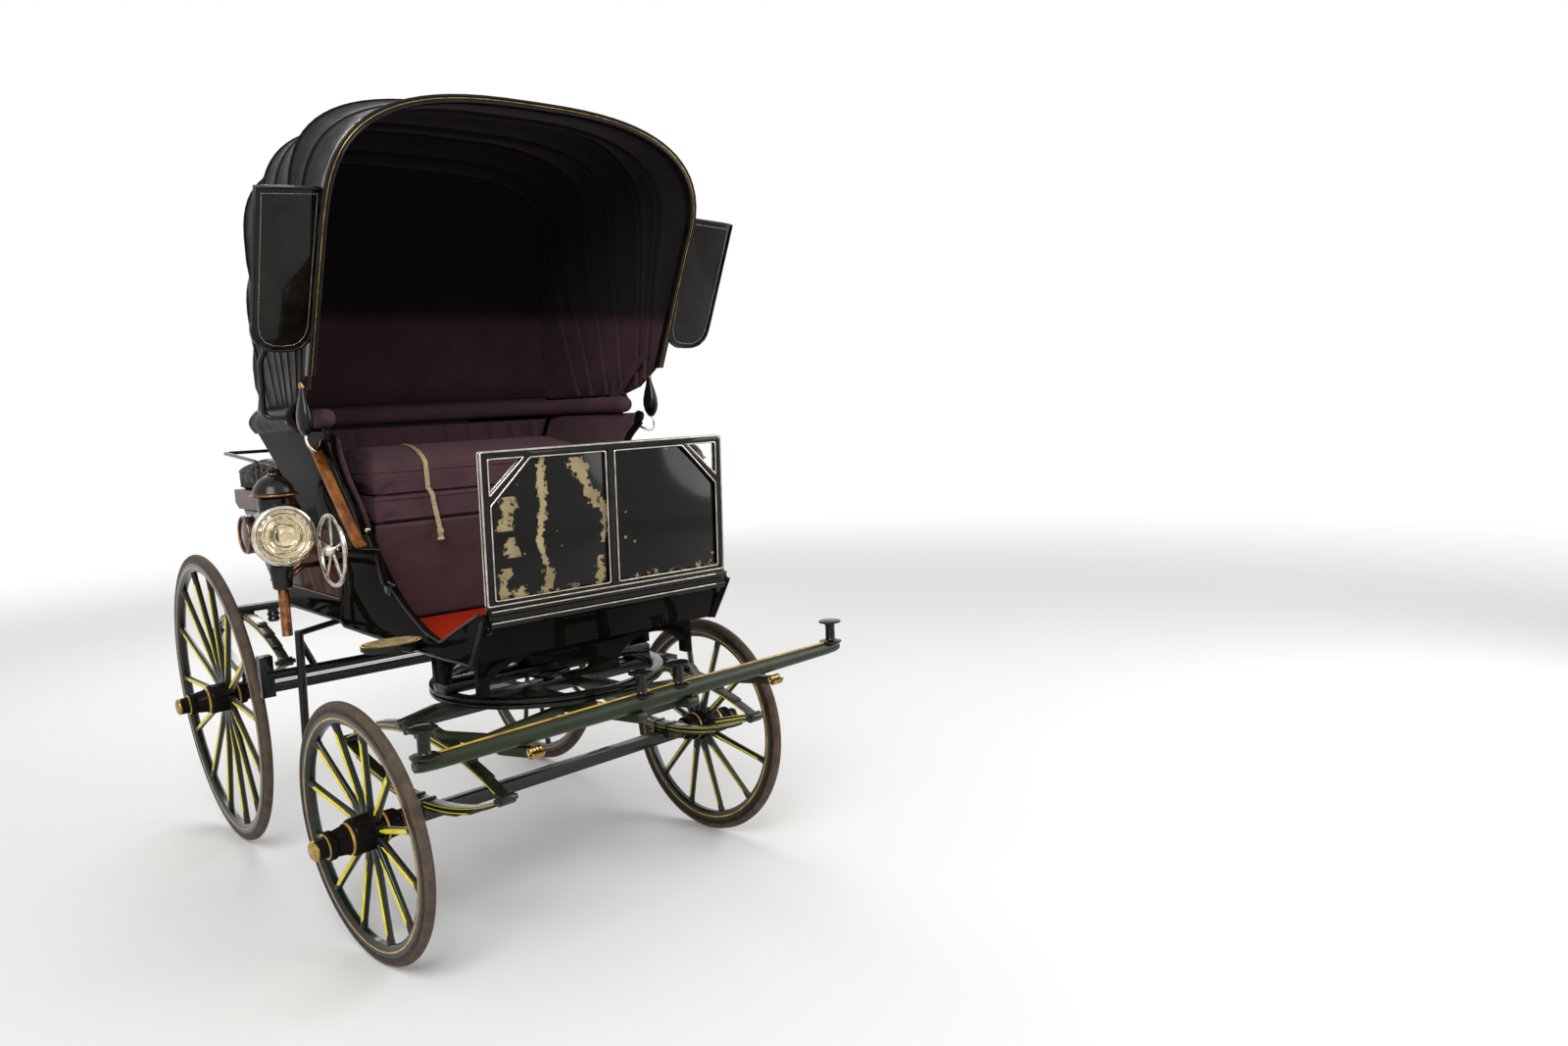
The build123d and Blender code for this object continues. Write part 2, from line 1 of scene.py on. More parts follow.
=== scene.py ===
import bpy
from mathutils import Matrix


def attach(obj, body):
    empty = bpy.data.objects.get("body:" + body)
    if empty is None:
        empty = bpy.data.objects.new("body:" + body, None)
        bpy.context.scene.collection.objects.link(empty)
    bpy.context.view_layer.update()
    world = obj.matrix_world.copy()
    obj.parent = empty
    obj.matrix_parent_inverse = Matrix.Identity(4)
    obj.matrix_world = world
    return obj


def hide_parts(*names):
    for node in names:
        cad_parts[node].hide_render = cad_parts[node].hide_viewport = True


bl_info = {
    "name": "Hooded phaeton",
    "version": (1, 0, 0),
    "blender": (4, 5, 0),
    "location": "View3D > Sidebar > Phaeton",
    "description": "Finishes a hooded demi mail phaeton: paint, leather, cloth, lamps and trim",
    "category": "Add Mesh",
}

from math import atan2, cos, hypot, pi, radians, sin, tan

import bmesh
import bpy
from mathutils import Matrix, Vector
from mathutils.bvhtree import BVHTree

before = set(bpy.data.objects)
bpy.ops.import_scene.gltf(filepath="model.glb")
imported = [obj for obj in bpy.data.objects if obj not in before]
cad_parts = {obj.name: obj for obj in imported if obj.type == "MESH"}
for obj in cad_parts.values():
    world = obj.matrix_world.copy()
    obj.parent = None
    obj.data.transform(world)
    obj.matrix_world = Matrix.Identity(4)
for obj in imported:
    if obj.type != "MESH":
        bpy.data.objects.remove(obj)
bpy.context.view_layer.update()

# Millimetres from the front axle: X across, + to the driver's left; Y towards the back; Z up.
MID_Y = 655                # the frame's origin lies this far behind the front axle
TRACK = 710                # from the middle to a wheel's rim plane
CAMBER = 2.6               # degrees each axle arm dips
LOCK = 5.1                 # degrees the fore carriage stands turned at rest
BASE = 1440                # from axle to axle
# Wheels: tread radius, axle place, number of spokes, inner end of the hub from the rim plane.
FRONT = dict(r=418, y=0, spokes=12, back=-112)
REAR = dict(r=590, y=BASE, spokes=14, back=-96)
TYRE_D = 30                # from the felloe to the tread
FELLOE_W = 36              # across the tread
FELLOE_D = 40              # in the plane of the wheel
DISH = 26                  # how far the spokes lean out from hub to rim
# Springs: place, half length, z of the lower and the upper pack's inner face at the middle and of the eyes,
# thickness and width of a leaf.
SPRING_F = dict(x=505, y=0, half=500, low=474, eye=575, top=682, leaf=7, width=38)
SPRING_R = dict(x=585, y=BASE, half=476, low=666, eye=783, top=896, leaf=7, width=38)
SHARES = (1, 0.82, 0.64, 0.46)          # length of each leaf against the main leaf
# Splinter bar: half length, place.
BAR = dict(half=832, y=-612, z=782)
BODY_IN = 433              # half width inside the body
PANEL = 22                 # thickness of its sides
LEAN = 21                  # degrees the seat sides lean out
# Dash: half width, place of its foot, height, how far its top leans to the front.
DASH = dict(half=433, y=-463, z=1085, high=481, lean=22)
LAMP = dict(x=795, y=120, z=1342)           # the middle of a lamp's lens seat
HAND = dict(x=-664, y=100, z=1282)          # the middle of the brake's hand wheel
# Hood bows: half width, foot (y, z), shoulder (y, z), crown (y, z), squareness of the corner.
BOWS = [(665, (185, 1827), (-32, 2253), (-157, 2656), 2.8),
        (662, (245, 1790), (120, 2280), (40, 2680), 3.0),
        (660, (300, 1760), (215, 2290), (200, 2728), 3.2),
        (648, (390, 1735), (400, 2300), (375, 2700), 3.2),
        (636, (480, 1736), (560, 2310), (550, 2716), 3.2),
        (620, (570, 1734), (720, 2290), (710, 2672), 3.2),
        (612, (660, 1734), (850, 2260), (860, 2652), 3.4),
        (606, (760, 1734), (905, 2000), (945, 2380), 3.6),
        (602, (850, 1734), (935, 1820), (955, 2080), 3.8),
        (598, (900, 1734), (940, 1738), (952, 1742), 4.0)]
PROP = (618, 452, 1704)    # the pivot of the hood's sticks
SIDES = ((1, "left"), (-1, "right"))
AHEAD = Matrix.Rotation(radians(-90), 4, "Z")         # turns a lathe's X to -Y
UPRIGHT = Matrix.Rotation(radians(-90), 4, "Y")       # turns a lathe's X to +Z

MILLI = Matrix.Scale(0.001, 4)
HERE = Matrix.Translation((0, -MID_Y / 1000, 0)) @ MILLI
FORE = HERE @ Matrix.Rotation(radians(LOCK), 4, "Z")


def linear(code):
    """A colour written as sRGB hex, made linear."""
    parts = [int(code[i:i + 2], 16) / 255 for i in (1, 3, 5)]
    return [p / 12.92 if p <= 0.04045 else ((p + 0.055) / 1.055) ** 2.4 for p in parts]


def colour_prop(name, description, code):
    return bpy.props.FloatVectorProperty(name=name, description=description, default=linear(code), size=3,
                                         subtype="COLOR", min=0, max=1)


def length_prop(name, description, metres):
    return bpy.props.FloatProperty(name=name, description=description, default=metres, unit="LENGTH", min=0)


class PhaetonColours(bpy.types.PropertyGroup):
    """Colours of paint, leather and cloth."""
    lacquer: colour_prop("Body lacquer", "Black coach lacquer of the body", "#080706")
    gear: colour_prop("Gear paint", "Dark green paint of wheels and springs", "#0b160e")
    bar: colour_prop("Bar paint", "Olive green paint of the splinter bar and futchells", "#1e2912")
    line: colour_prop("Lining", "Yellow lining of spokes, felloes and springs", "#f0dc18")
    cloth: colour_prop("Seat cloth", "Purple brown box cloth", "#4d3539")
    carpet: colour_prop("Carpet", "Red ribbed carpet", "#c7300f")
    leather: colour_prop("Hood leather", "Black hood leather", "#0f0d0b")
    rubber: colour_prop("Rubber", "Brown grey solid rubber", "#57493c")


class PhaetonSizes(bpy.types.PropertyGroup):
    """Sizes of lining, beading and stitching."""
    line_width: length_prop("Lining width", "Width of the line on each spoke", 0.014)
    bead_radius: length_prop("Bead radius", "Radius of the beading round the hood and dash", 0.004)
    stitch_step: length_prop("Stitch step", "Distance from one stitch to the next", 0.009)
    hood_sag: length_prop("Hood sag", "How far the hood leather dips between its bows", 0.011)


# Nodes and materials


def add(tree, kind, sockets=None, **settings):
    """Add a node. settings are its properties; sockets take a value or another node's output."""
    made = tree.nodes.new(kind)
    for name, value in settings.items():
        setattr(made, name, value)
    for key, value in (sockets or {}).items():
        socket = made.inputs[key]
        if isinstance(value, bpy.types.NodeSocket):
            tree.links.new(value, socket)
        else:
            socket.default_value = value
    return made


def blank(name, constants):
    """A new material with its shader, whose constant sockets are set, and its object coordinates."""
    made = bpy.data.materials.new(name)
    made.use_nodes = True
    tree = made.node_tree
    tree.nodes.clear()
    shader = add(tree, "ShaderNodeBsdfPrincipled", constants)
    add(tree, "ShaderNodeOutputMaterial", {"Surface": shader.outputs["BSDF"]})
    return made, tree, shader, add(tree, "ShaderNodeTexCoord").outputs["Object"]


def rgba(colour):
    """A linear or hex colour with its alpha; a socket stays as it is."""
    if isinstance(colour, bpy.types.NodeSocket):
        return colour
    return (*(linear(colour) if isinstance(colour, str) else colour), 1)


def noise(tree, place, scale, detail=2, rough=0.5):
    sockets = {"Vector": place, "Scale": scale, "Detail": detail, "Roughness": rough}
    return add(tree, "ShaderNodeTexNoise", sockets).outputs[0]


def spread(tree, value, start, end, low=0.0, high=1.0):
    """A value's range from start to end made one from low to high, and held within it."""
    sockets = {"Value": value, "From Min": start, "From Max": end, "To Min": low, "To Max": high}
    return add(tree, "ShaderNodeMapRange", sockets).outputs[0]


def maths(tree, operation, *values):
    return add(tree, "ShaderNodeMath", dict(enumerate(values)), operation=operation).outputs[0]


def blend(tree, share, first, second):
    sockets = {0: share, 6: rgba(first), 7: rgba(second)}
    return add(tree, "ShaderNodeMix", sockets, data_type="RGBA").outputs[2]


def brighten(tree, colour, value):
    return add(tree, "ShaderNodeHueSaturation", {"Color": colour, "Value": value}).outputs[0]


def surface(tree, shader, height, depth, strength, colour=None, gloss=None):
    """Link a bump whose depth is in metres, and a colour and roughness where they are given."""
    bump = add(tree, "ShaderNodeBump", {"Height": height, "Distance": depth, "Strength": strength})
    for name, value in (("Base Color", colour), ("Roughness", gloss), ("Normal", bump.outputs[0])):
        if value is not None:
            tree.links.new(value, shader.inputs[name])


def coat(name, base, tint, patch, rough, grain, depth, cells=False, dust=0.0, **constants):
    """A surface of two near colours that change over patch mm, its grain depth mm deep and grain mm wide.

    rough is its lowest and highest roughness; dust is how much settles on what faces up."""
    sockets = {key.replace("_", " "): value for key, value in constants.items()}
    made, tree, shader, place = blank(name, sockets)
    share = spread(tree, noise(tree, place, 1000 / patch, 5, 0.62), 0.36, 0.66)
    colour = blend(tree, share, base, tint)
    if cells:
        sockets = {"Vector": place, "Scale": 1000 / grain}
        fine = add(tree, "ShaderNodeTexVoronoi", sockets, feature="SMOOTH_F1").outputs[0]
    else:
        fine = noise(tree, place, 1000 / grain, 3)
    gloss = spread(tree, noise(tree, place, 2600 / patch, 4), 0.3, 0.7, *rough)
    if dust:
        facing = add(tree, "ShaderNodeSeparateXYZ", {0: add(tree, "ShaderNodeNewGeometry").outputs["Normal"]})
        settled = maths(tree, "MULTIPLY", spread(tree, facing.outputs["Z"], 0.35, 1.0, 0.0, dust), share)
        colour = blend(tree, settled, colour, "#8d7c66")
    surface(tree, shader, fine, depth / 1000, 0.8, colour, gloss)
    return made


def box_cloth(name, base, tint, above=None, split=2.05, slope=0.094):
    """Milled woollen box cloth: matt, its twill drawn coarse at 3 mm, with a soft sheen at a fold's edge.

    Where above is set, the cloth has that colour higher than split metres, and split rises by slope: a
    painted shadow on the hood lining."""
    made, tree, shader, place = blank(name, {
        "Roughness": 0.92, "Sheen Weight": 0.22, "Sheen Roughness": 0.45, "Sheen Tint": rgba("#8c7678"),
        "Specular IOR Level": 0.2})
    twill = add(tree, "ShaderNodeTexWave", {"Vector": place, "Scale": 104, "Distortion": 1.2, "Detail": 1},
                bands_direction="DIAGONAL").outputs["Fac"]
    weave = maths(tree, "ADD", noise(tree, place, 420), twill)
    tone = blend(tree, spread(tree, noise(tree, place, 9, 6, 0.65), 0.35, 0.68), base, tint)
    # Painted shadow: higher than the sloping split, the cloth takes the colour given as above.
    if above:
        spot = add(tree, "ShaderNodeSeparateXYZ", {0: place}).outputs
        height = maths(tree, "MULTIPLY_ADD", spot["Y"], -slope, spot["Z"])
        tone = blend(tree, spread(tree, height, split - 0.03, split + 0.03), tone, above)
    tone = brighten(tree, tone, spread(tree, weave, 0.4, 1.5, 0.78, 1.18))
    surface(tree, shader, weave, 0.0005, 0.7, tone)
    return made


def ribbed_carpet(name, base):
    """Wool carpet in straight ribs 24 mm apart, with painted shade darkening the valleys between the ribs."""
    made, tree, shader, place = blank(name, {"Roughness": 0.95, "Specular IOR Level": 0.1})
    ribs = add(tree, "ShaderNodeTexWave", {"Vector": place, "Scale": 13, "Distortion": 0.5, "Detail": 2},
               bands_direction="Y").outputs["Fac"]
    # Painted shade: the valleys between the ribs take four tenths of the carpet's colour.
    tone = blend(tree, ribs, tuple(c * 0.4 for c in base), base)
    tone = brighten(tree, tone, spread(tree, noise(tree, place, 300, 3), 0.3, 0.7, 0.75, 1.2))
    surface(tree, shader, ribs, 0.002, 1.0, tone)
    return made


# Where the japan has run off the dash, in metres: place and lean across, half width, lowest and highest z.
RUNS = ((-0.236, 0.02, 0.014, 1.05, 1.56), (-0.09, -0.4, 0.019, 1.38, 1.54),
        (-0.035, -0.12, 0.012, 1.27, 1.41), (-0.36, 0.1, 0.018, 1.34, 1.44),
        (-0.352, -0.1, 0.012, 1.26, 1.32), (-0.375, 0.05, 0.02, 1.15, 1.23),
        (-0.05, 0.1, 0.018, 1.12, 1.23))


def peeled_patent(name, base):
    """Patent leather: its black japan has run off in streaks and flakes and shows the tan hide beneath."""
    made, tree, shader, place = blank(name, {
        "Specular IOR Level": 0.14, "Coat Weight": 0.16, "Coat Roughness": 0.06})
    spot = add(tree, "ShaderNodeSeparateXYZ", {0: place}).outputs
    flake = noise(tree, place, 30, 9, 0.78)
    wander = noise(tree, place, 7, 6, 0.65)
    # Flakes: along the foot, and in patches on the right half.
    low = spread(tree, spot["Z"], 1.12, 1.19, 0.22, -0.06)
    right = spread(tree, spot["X"], -0.02, 0.02, 0.085, 0.0)
    patch = spread(tree, wander, 0.42, 0.6, -0.03, 1.0)
    worn = maths(tree, "ADD", maths(tree, "MULTIPLY", right, patch), low)
    mask = spread(tree, maths(tree, "ADD", flake, worn), 0.66, 0.672)
    # Small round chips.
    chip = add(tree, "ShaderNodeTexVoronoi", {"Vector": place, "Scale": 15}).outputs["Distance"]
    torn = maths(tree, "LESS_THAN", chip, maths(tree, "MULTIPLY", flake, 0.16))
    mask = maths(tree, "MAXIMUM", mask, torn)
    # Runs: each wanders across as it falls, and its edge is ragged.
    ragged = spread(tree, flake, 0.3, 0.7, -0.6, 2.4)
    shift = maths(tree, "MULTIPLY_ADD", wander, 0.11, spot["X"])
    for across, lean, half, foot, head in RUNS:
        bend = maths(tree, "MULTIPLY_ADD", spot["Z"], -lean, shift)
        off = maths(tree, "SUBTRACT", bend, across + 0.055 - lean * (foot + head) / 2)
        edge = maths(tree, "MULTIPLY", ragged, half)
        inside = maths(tree, "LESS_THAN", maths(tree, "ABSOLUTE", off), edge)
        above = maths(tree, "GREATER_THAN", spot["Z"], foot)
        held = maths(tree, "MULTIPLY", above, maths(tree, "LESS_THAN", spot["Z"], head))
        mask = maths(tree, "MAXIMUM", mask, maths(tree, "MULTIPLY", inside, held))
    tone = blend(tree, mask, base, blend(tree, wander, "#4e3c20", "#b5a57c"))
    craze = add(tree, "ShaderNodeTexVoronoi", {"Vector": place, "Scale": 120}, feature="DISTANCE_TO_EDGE")
    level = maths(tree, "SUBTRACT", craze.outputs[0], mask)
    surface(tree, shader, level, 0.0005, 0.4, tone, spread(tree, mask, 0, 1, 0.12, 0.75))
    return made


def pressed_glass(name):
    """Clear pressed flint glass, faintly warm, with the slight waviness of a mould."""
    made, tree, shader, place = blank(name, {
        "Base Color": rgba("#f6f0e2"), "Roughness": 0.04, "IOR": 1.52, "Transmission Weight": 1.0})
    surface(tree, shader, noise(tree, place, 60, 1), 0.0008, 0.4)
    return made


def long_grain(name, base, tint, period, rough):
    """Varnished timber: its grain runs along X, rings period mm apart, under a clear varnish."""
    made, tree, shader, place = blank(name, {
        "Specular IOR Level": 0.1, "Coat Weight": 0.15, "Coat Roughness": 0.12})
    run = add(tree, "ShaderNodeMapping", {"Vector": place, "Scale": (0.12, 1, 1)}).outputs[0]
    sockets = {"Vector": run, "Scale": 314 / period, "Distortion": 6, "Detail": 4, "Detail Scale": 1.6}
    rings = add(tree, "ShaderNodeTexWave", sockets, bands_direction="Y").outputs["Fac"]
    pores = noise(tree, run, 600, 3)
    share = maths(tree, "MULTIPLY", rings, pores)
    gloss = spread(tree, pores, 0, 1, rough, rough + 0.2)
    surface(tree, shader, share, 0.0003, 0.6, blend(tree, share, base, tint), gloss)
    return made


def mixed(colour, other, share):
    return tuple(a + share * (b - a) for a, b in zip(colour, other))


def make_finishes():
    """Every material of the carriage, by a short name."""
    c = bpy.context.scene.phaeton_colours
    dust = linear("#9a8a72")
    black = (0.0, 0.0, 0.0)
    return {
        # Oil coach lacquer flatted and varnished: deep black with a wet shine, hazed by dust on its ledges.
        "lacquer": coat("black_coach_lacquer", c.lacquer, mixed(c.lacquer, dust, 0.015), 240, (0.06, 0.16),
                        30, 0.08, dust=0.02, Specular_IOR_Level=0.0, Coat_Weight=0.1, Coat_Roughness=0.03),
        # Brushed oil enamel on forged iron: glossy, slightly lumpy from the hammer.
        "iron": coat("black_iron_enamel", "#090a09", "#131310", 60, (0.14, 0.3), 14, 0.5, dust=0.03,
                     Specular_IOR_Level=0.2, Coat_Weight=0.18, Coat_Roughness=0.08),
        # Dark green coach paint on ash and iron: nearly black but for its lit edges.
        "gear": coat("dark_green_coach_paint", c.gear, mixed(c.gear, dust, 0.03), 110, (0.14, 0.28), 18, 0.3,
                     dust=0.03, Specular_IOR_Level=0.25, Coat_Weight=0.22, Coat_Roughness=0.06),
        # Mid green paint with some olive on ash, rubbed satin by the traces.
        "bar": coat("mid_green_satin_paint", c.bar, mixed(c.bar, black, 0.45), 70, (0.3, 0.46), 9, 0.25,
                    dust=0.06, Specular_IOR_Level=0.22, Coat_Weight=0.1, Coat_Roughness=0.25),
        # Hand drawn lining in chrome yellow oil paint.
        "line": coat("yellow_lining_paint", c.line, mixed(c.line, (0.3, 0.16, 0.01), 0.35), 35, (0.3, 0.45),
                     6, 0.1),
        # The same lining gone ochre under its varnish.
        "ochre": coat("ochre_lining_paint", "#c99a35", "#8a6420", 50, (0.25, 0.4), 6, 0.1, Coat_Weight=0.2),
        # Solid rubber, greyed by age and brown with road dust in its pores.
        "rubber": coat("solid_tyre_rubber", c.rubber, mixed(c.rubber, (0.01, 0.01, 0.01), 0.6), 45,
                       (0.7, 0.9), 3, 0.35, dust=0.12, Specular_IOR_Level=0.3),
        # Rolled steel channel of the tyre, browned.
        "channel": coat("browned_steel_channel", "#3a2a1c", "#1d1510", 30, (0.35, 0.6), 5, 0.2, Metallic=0.8),
        # Cast brass, turned and polished, tarnished brown where the cloth does not reach.
        "brass": coat("polished_brass", "#bfa05c", "#7c6236", 26, (0.14, 0.32), 4, 0.06, Metallic=1.0),
        # Copper alloy tube, worn bright and brown.
        "copper": coat("worn_copper", "#a9714a", "#5c3820", 22, (0.22, 0.45), 5, 0.1, Metallic=1.0),
        # Nickel plated iron, bright with a soft haze.
        "nickel": coat("nickel_plate", "#d8d2c6", "#a79f90", 30, (0.1, 0.24), 6, 0.04, Metallic=1.0),
        # Hood hide: black dressed cowhide, pebble grain drawn at 3 mm, greasy shine.
        "hide": coat("black_hood_leather", c.leather, mixed(c.leather, dust, 0.015), 160, (0.34, 0.52), 3.2,
                     0.5, cells=True, dust=0.02, Specular_IOR_Level=0.05, Coat_Weight=0.05,
                     Coat_Roughness=0.25),
        # Patent trim leather, sound: mirror black over a soft base.
        "patent": coat("black_patent_leather", c.lacquer, mixed(c.lacquer, dust, 0.02), 60, (0.08, 0.2), 16,
                       0.4, dust=0.01, Specular_IOR_Level=0.14, Coat_Weight=0.2, Coat_Roughness=0.04),
        "peeled": peeled_patent("peeling_patent_leather", c.lacquer),
        "cloth": box_cloth("purple_brown_box_cloth", c.cloth, mixed(c.cloth, (0.02, 0.015, 0.02), 0.4)),
        # The head lining is the same box cloth darkened as painted shade, and near black above a sloping
        # height as a painted shadow of the hood's front hoop.
        "lining": box_cloth("hood_lining_cloth", mixed(c.cloth, black, 0.35), mixed(c.cloth, black, 0.55),
                            "#0b090c"),
        "carpet": ribbed_carpet("red_ribbed_carpet", c.carpet),
        "glass": pressed_glass("pressed_lamp_glass"),
        # Silvered reflector plate.
        "silver": coat("silvered_reflector", "#f0ead8", "#cfc4a6", 20, (0.05, 0.16), 5, 0.05, Metallic=1.0),
        # Bridle leather strap, tan and waxed, darker where it is handled.
        "strap": coat("tan_bridle_leather", "#9a5c24", "#5c3012", 40, (0.35, 0.55), 2.5, 0.2, cells=True),
        # Unbleached linen webbing, drawn with a 2 mm weave.
        "thread": coat("unbleached_linen", "#b5a27c", "#7a6a4c", 8, (0.6, 0.8), 2, 0.2),
        # Varnished boot sides in a deep red brown.
        "brown": coat("brown_varnished_panel", "#4a1f0b", "#2b1104", 120, (0.12, 0.24), 26, 0.1, dust=0.02,
                      Specular_IOR_Level=0.05, Coat_Weight=0.12, Coat_Roughness=0.05),
        "board": long_grain("varnished_ash_board", "#2d1508", "#5f3113", 14, 0.25),
        # Rubber faced step tread, worn tan through its black.
        "tread": coat("worn_step_tread", "#c3a878", "#6a5230", 24, (0.45, 0.7), 6, 0.5),
    }


# Filled by main(): materials by a short name, node trees by name.
FINISH = {}
TREES = {}


# Shapes, all built in millimetres from the front axle


def lathe(profile, n=48):
    """A shape turned about X from (along, radius) points."""
    verts, faces = [], []
    for along, radius in profile:
        verts += [(along, radius * cos(2 * pi * k / n), radius * sin(2 * pi * k / n)) for k in range(n)]
    for i in range(len(profile) - 1):
        faces += round_faces(i, i + 1, n)
    return verts, faces


def round_faces(i, j, n):
    """Faces between ring i and ring j of n points."""
    return [(i * n + k, i * n + (k + 1) % n, j * n + (k + 1) % n, j * n + k) for k in range(n)]


def band(a, b, inner, outer, n):
    """A turned ring from a to b along X, between two radii."""
    return lathe([(a, inner), (a, outer), (b, outer), (b, inner), (a, inner)], n)


def loft(rings):
    """A skin through rings of points of one size, capped at both ends."""
    n, count = len(rings[0]), len(rings)
    faces = []
    for i in range(count - 1):
        faces += round_faces(i, i + 1, n)
    faces += [tuple(range(n))[::-1], tuple(range((count - 1) * n, count * n))]
    return [p for ring in rings for p in ring], faces


def grid(rows):
    """An open skin through rows of points of one size."""
    n = len(rows[0])
    faces = [(i * n + k, i * n + k + 1, (i + 1) * n + k + 1, (i + 1) * n + k)
             for i in range(len(rows) - 1) for k in range(n - 1)]
    return [p for row in rows for p in row], faces


def hexagon(centre, r, high):
    """A nut: a six sided block with its chamfer on top."""
    x, y, z = centre
    rings = [[(x + q * r * cos(k * pi / 3), y + q * r * sin(k * pi / 3), z + up * high) for k in range(6)]
             for q, up in ((1, 0), (1, 0.8), (0.82, 1))]
    return loft(rings)


def moved(shape, place):
    return [tuple(place @ Vector(v)) for v in shape[0]], shape[1]


def joined(shapes):
    verts, faces = [], []
    for v, f in shapes:
        faces += [tuple(i + len(verts) for i in face) for face in f]
        verts += v
    return verts, faces


def curve_through(points, steps=6):
    """A smooth line through points."""
    pts = [Vector(p) for p in points]
    pts = [pts[0] * 2 - pts[1]] + pts + [pts[-1] * 2 - pts[-2]]
    out = []
    for p0, p1, p2, p3 in zip(pts, pts[1:], pts[2:], pts[3:]):
        for k in range(steps):
            t = k / steps
            out.append(0.5 * (2 * p1 + (p2 - p0) * t + (2 * p0 - 5 * p1 + 4 * p2 - p3) * t * t
                              + (3 * p1 - p0 - 3 * p2 + p3) * t ** 3))
    return [tuple(p) for p in out + [pts[-2]]]


def mirrored(points):
    return [(-x, y, z) for x, y, z in points]


def filleted(points, radius, n=6):
    """Straight runs joined by arcs of one radius."""
    pts = [Vector(p) for p in points]
    out = [pts[0]]
    for a, b, c in zip(pts, pts[1:], pts[2:]):
        back, ahead = (a - b).normalized(), (c - b).normalized()
        half = back.angle(ahead) / 2
        centre = b + (back + ahead).normalized() * radius / sin(half)
        first, last = b + back * radius / tan(half) - centre, b + ahead * radius / tan(half) - centre
        out += [centre + first.slerp(last, k / n) for k in range(n + 1)]
    return [tuple(p) for p in out + [pts[-1]]]


def ellipse(centre, a, b, n=48):
    """A level ring of n points."""
    x, y, z = centre
    return [(x + a * cos(2 * pi * k / n), y + b * sin(2 * pi * k / n), z) for k in range(n)]


# The section of a strap: shares of its width and of its thickness.
STRAP_EDGE = ((-0.5, -0.3), (-0.4, -0.5), (0.4, -0.5), (0.5, -0.3), (0.5, 0.3), (0.4, 0.5), (-0.4, 0.5),
              (-0.5, 0.3))


def strip(path, across, wide, thick):
    """A flat strap along a path; across is the direction of its width."""
    side = Vector(across).normalized()
    rings = []
    for i, spot in enumerate(path):
        along = Vector(path[min(i + 1, len(path) - 1)]) - Vector(path[max(i - 1, 0)])
        up = along.cross(side).normalized()
        rings.append([tuple(Vector(spot) + side * wide * u + up * thick * v) for u, v in STRAP_EDGE])
    return loft(rings)


# Pieces


def in_scene(name, data):
    """An object with this data, linked to the scene."""
    obj = bpy.data.objects.new(name, data)
    bpy.context.scene.collection.objects.link(obj)
    return obj


def settle(obj):
    """Make the object a plain mesh at the origin, its modifiers applied."""
    bpy.context.view_layer.update()
    graph = bpy.context.evaluated_depsgraph_get()
    source = obj.evaluated_get(graph)
    mesh = bpy.data.meshes.new_from_object(source, preserve_all_data_layers=True, depsgraph=graph)
    mesh.transform(obj.matrix_world)
    name = obj.name
    bpy.data.objects.remove(obj)
    return in_scene(name, mesh)


def keep(obj, replaces=(), body="carriage"):
    """Parent a finished piece to its body's empty and hide the CAD nodes that it stands for."""
    if not obj.data.polygons:
        raise RuntimeError(f"{obj.name} has no faces")
    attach(obj, body)
    if replaces:
        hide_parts(*replaces)
    return obj


def shaped(name, shape, finish, place=HERE, smooth=35, bevel=0, thick=0, orient=True):
    """A mesh object from a shape, with its doubles merged and its faces turned outwards."""
    mesh = bpy.data.meshes.new(name)
    mesh.from_pydata([tuple(place @ Vector(v)) for v in shape[0]], [], shape[1])
    work = bmesh.new()
    work.from_mesh(mesh)
    bmesh.ops.remove_doubles(work, verts=work.verts, dist=0.00002)
    bmesh.ops.dissolve_degenerate(work, edges=work.edges, dist=0.00001)
    if orient:
        bmesh.ops.recalc_face_normals(work, faces=work.faces)
    work.to_mesh(mesh)
    work.free()
    mesh.materials.append(FINISH[finish])
    return modified(in_scene(name, mesh), smooth, bevel, thick=thick)


def piece(name, shape, finish, slot, replaces=(), body="carriage", **look):
    """A finished piece from a shape in mm."""
    return keep(shaped(name, shape, finish, **look), replaces, body)


def sheet_piece(name, rows, finish, slot, thick, replaces=()):
    """A sheet of leather or cloth, thick mm, through a grid of points."""
    return piece(name, grid(rows), finish, slot, replaces, smooth=180, thick=thick, orient=False)


def modified(obj, smooth, bevel=0, sub=0, thick=0):
    """Thicken and round by the amounts in mm, subdivide sub times and shade smooth below an angle."""
    if thick:
        wall = obj.modifiers.new("wall", "SOLIDIFY")
        wall.thickness = thick / 1000
        wall.offset = 0
    if bevel:
        ease_edges(obj, bevel, 32)
    if sub:
        soft = obj.modifiers.new("soft", "SUBSURF")
        soft.levels = soft.render_levels = sub
    return shaded(settle(obj), smooth)


def ease_edges(obj, width, angle):
    """Round the edges that turn by more than angle degrees, width mm wide."""
    edge = obj.modifiers.new("edge", "BEVEL")
    edge.width = width / 1000
    edge.segments = 2
    edge.limit_method = "ANGLE"
    edge.angle_limit = radians(angle)


def shaded(obj, angle):
    """Shade smooth, but for edges that turn by more than angle degrees."""
    obj.data.polygons.foreach_set("use_smooth", [True] * len(obj.data.polygons))
    if angle < 180:
        obj.data.set_sharp_from_angle(angle=radians(angle))
    return obj


def cad_copy(node, name, finish, flatten=False):
    """A copy of a CAD node in another finish, with its doubles merged and, if asked, its flats made whole."""
    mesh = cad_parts[node].data.copy()
    work = bmesh.new()
    work.from_mesh(mesh)
    bmesh.ops.remove_doubles(work, verts=work.verts, dist=0.00003)
    if flatten:
        bmesh.ops.dissolve_limit(work, angle_limit=radians(0.6), verts=work.verts, edges=work.edges)
    work.to_mesh(mesh)
    work.free()
    mesh.materials.clear()
    mesh.materials.append(FINISH[finish])
    return in_scene(name, mesh)


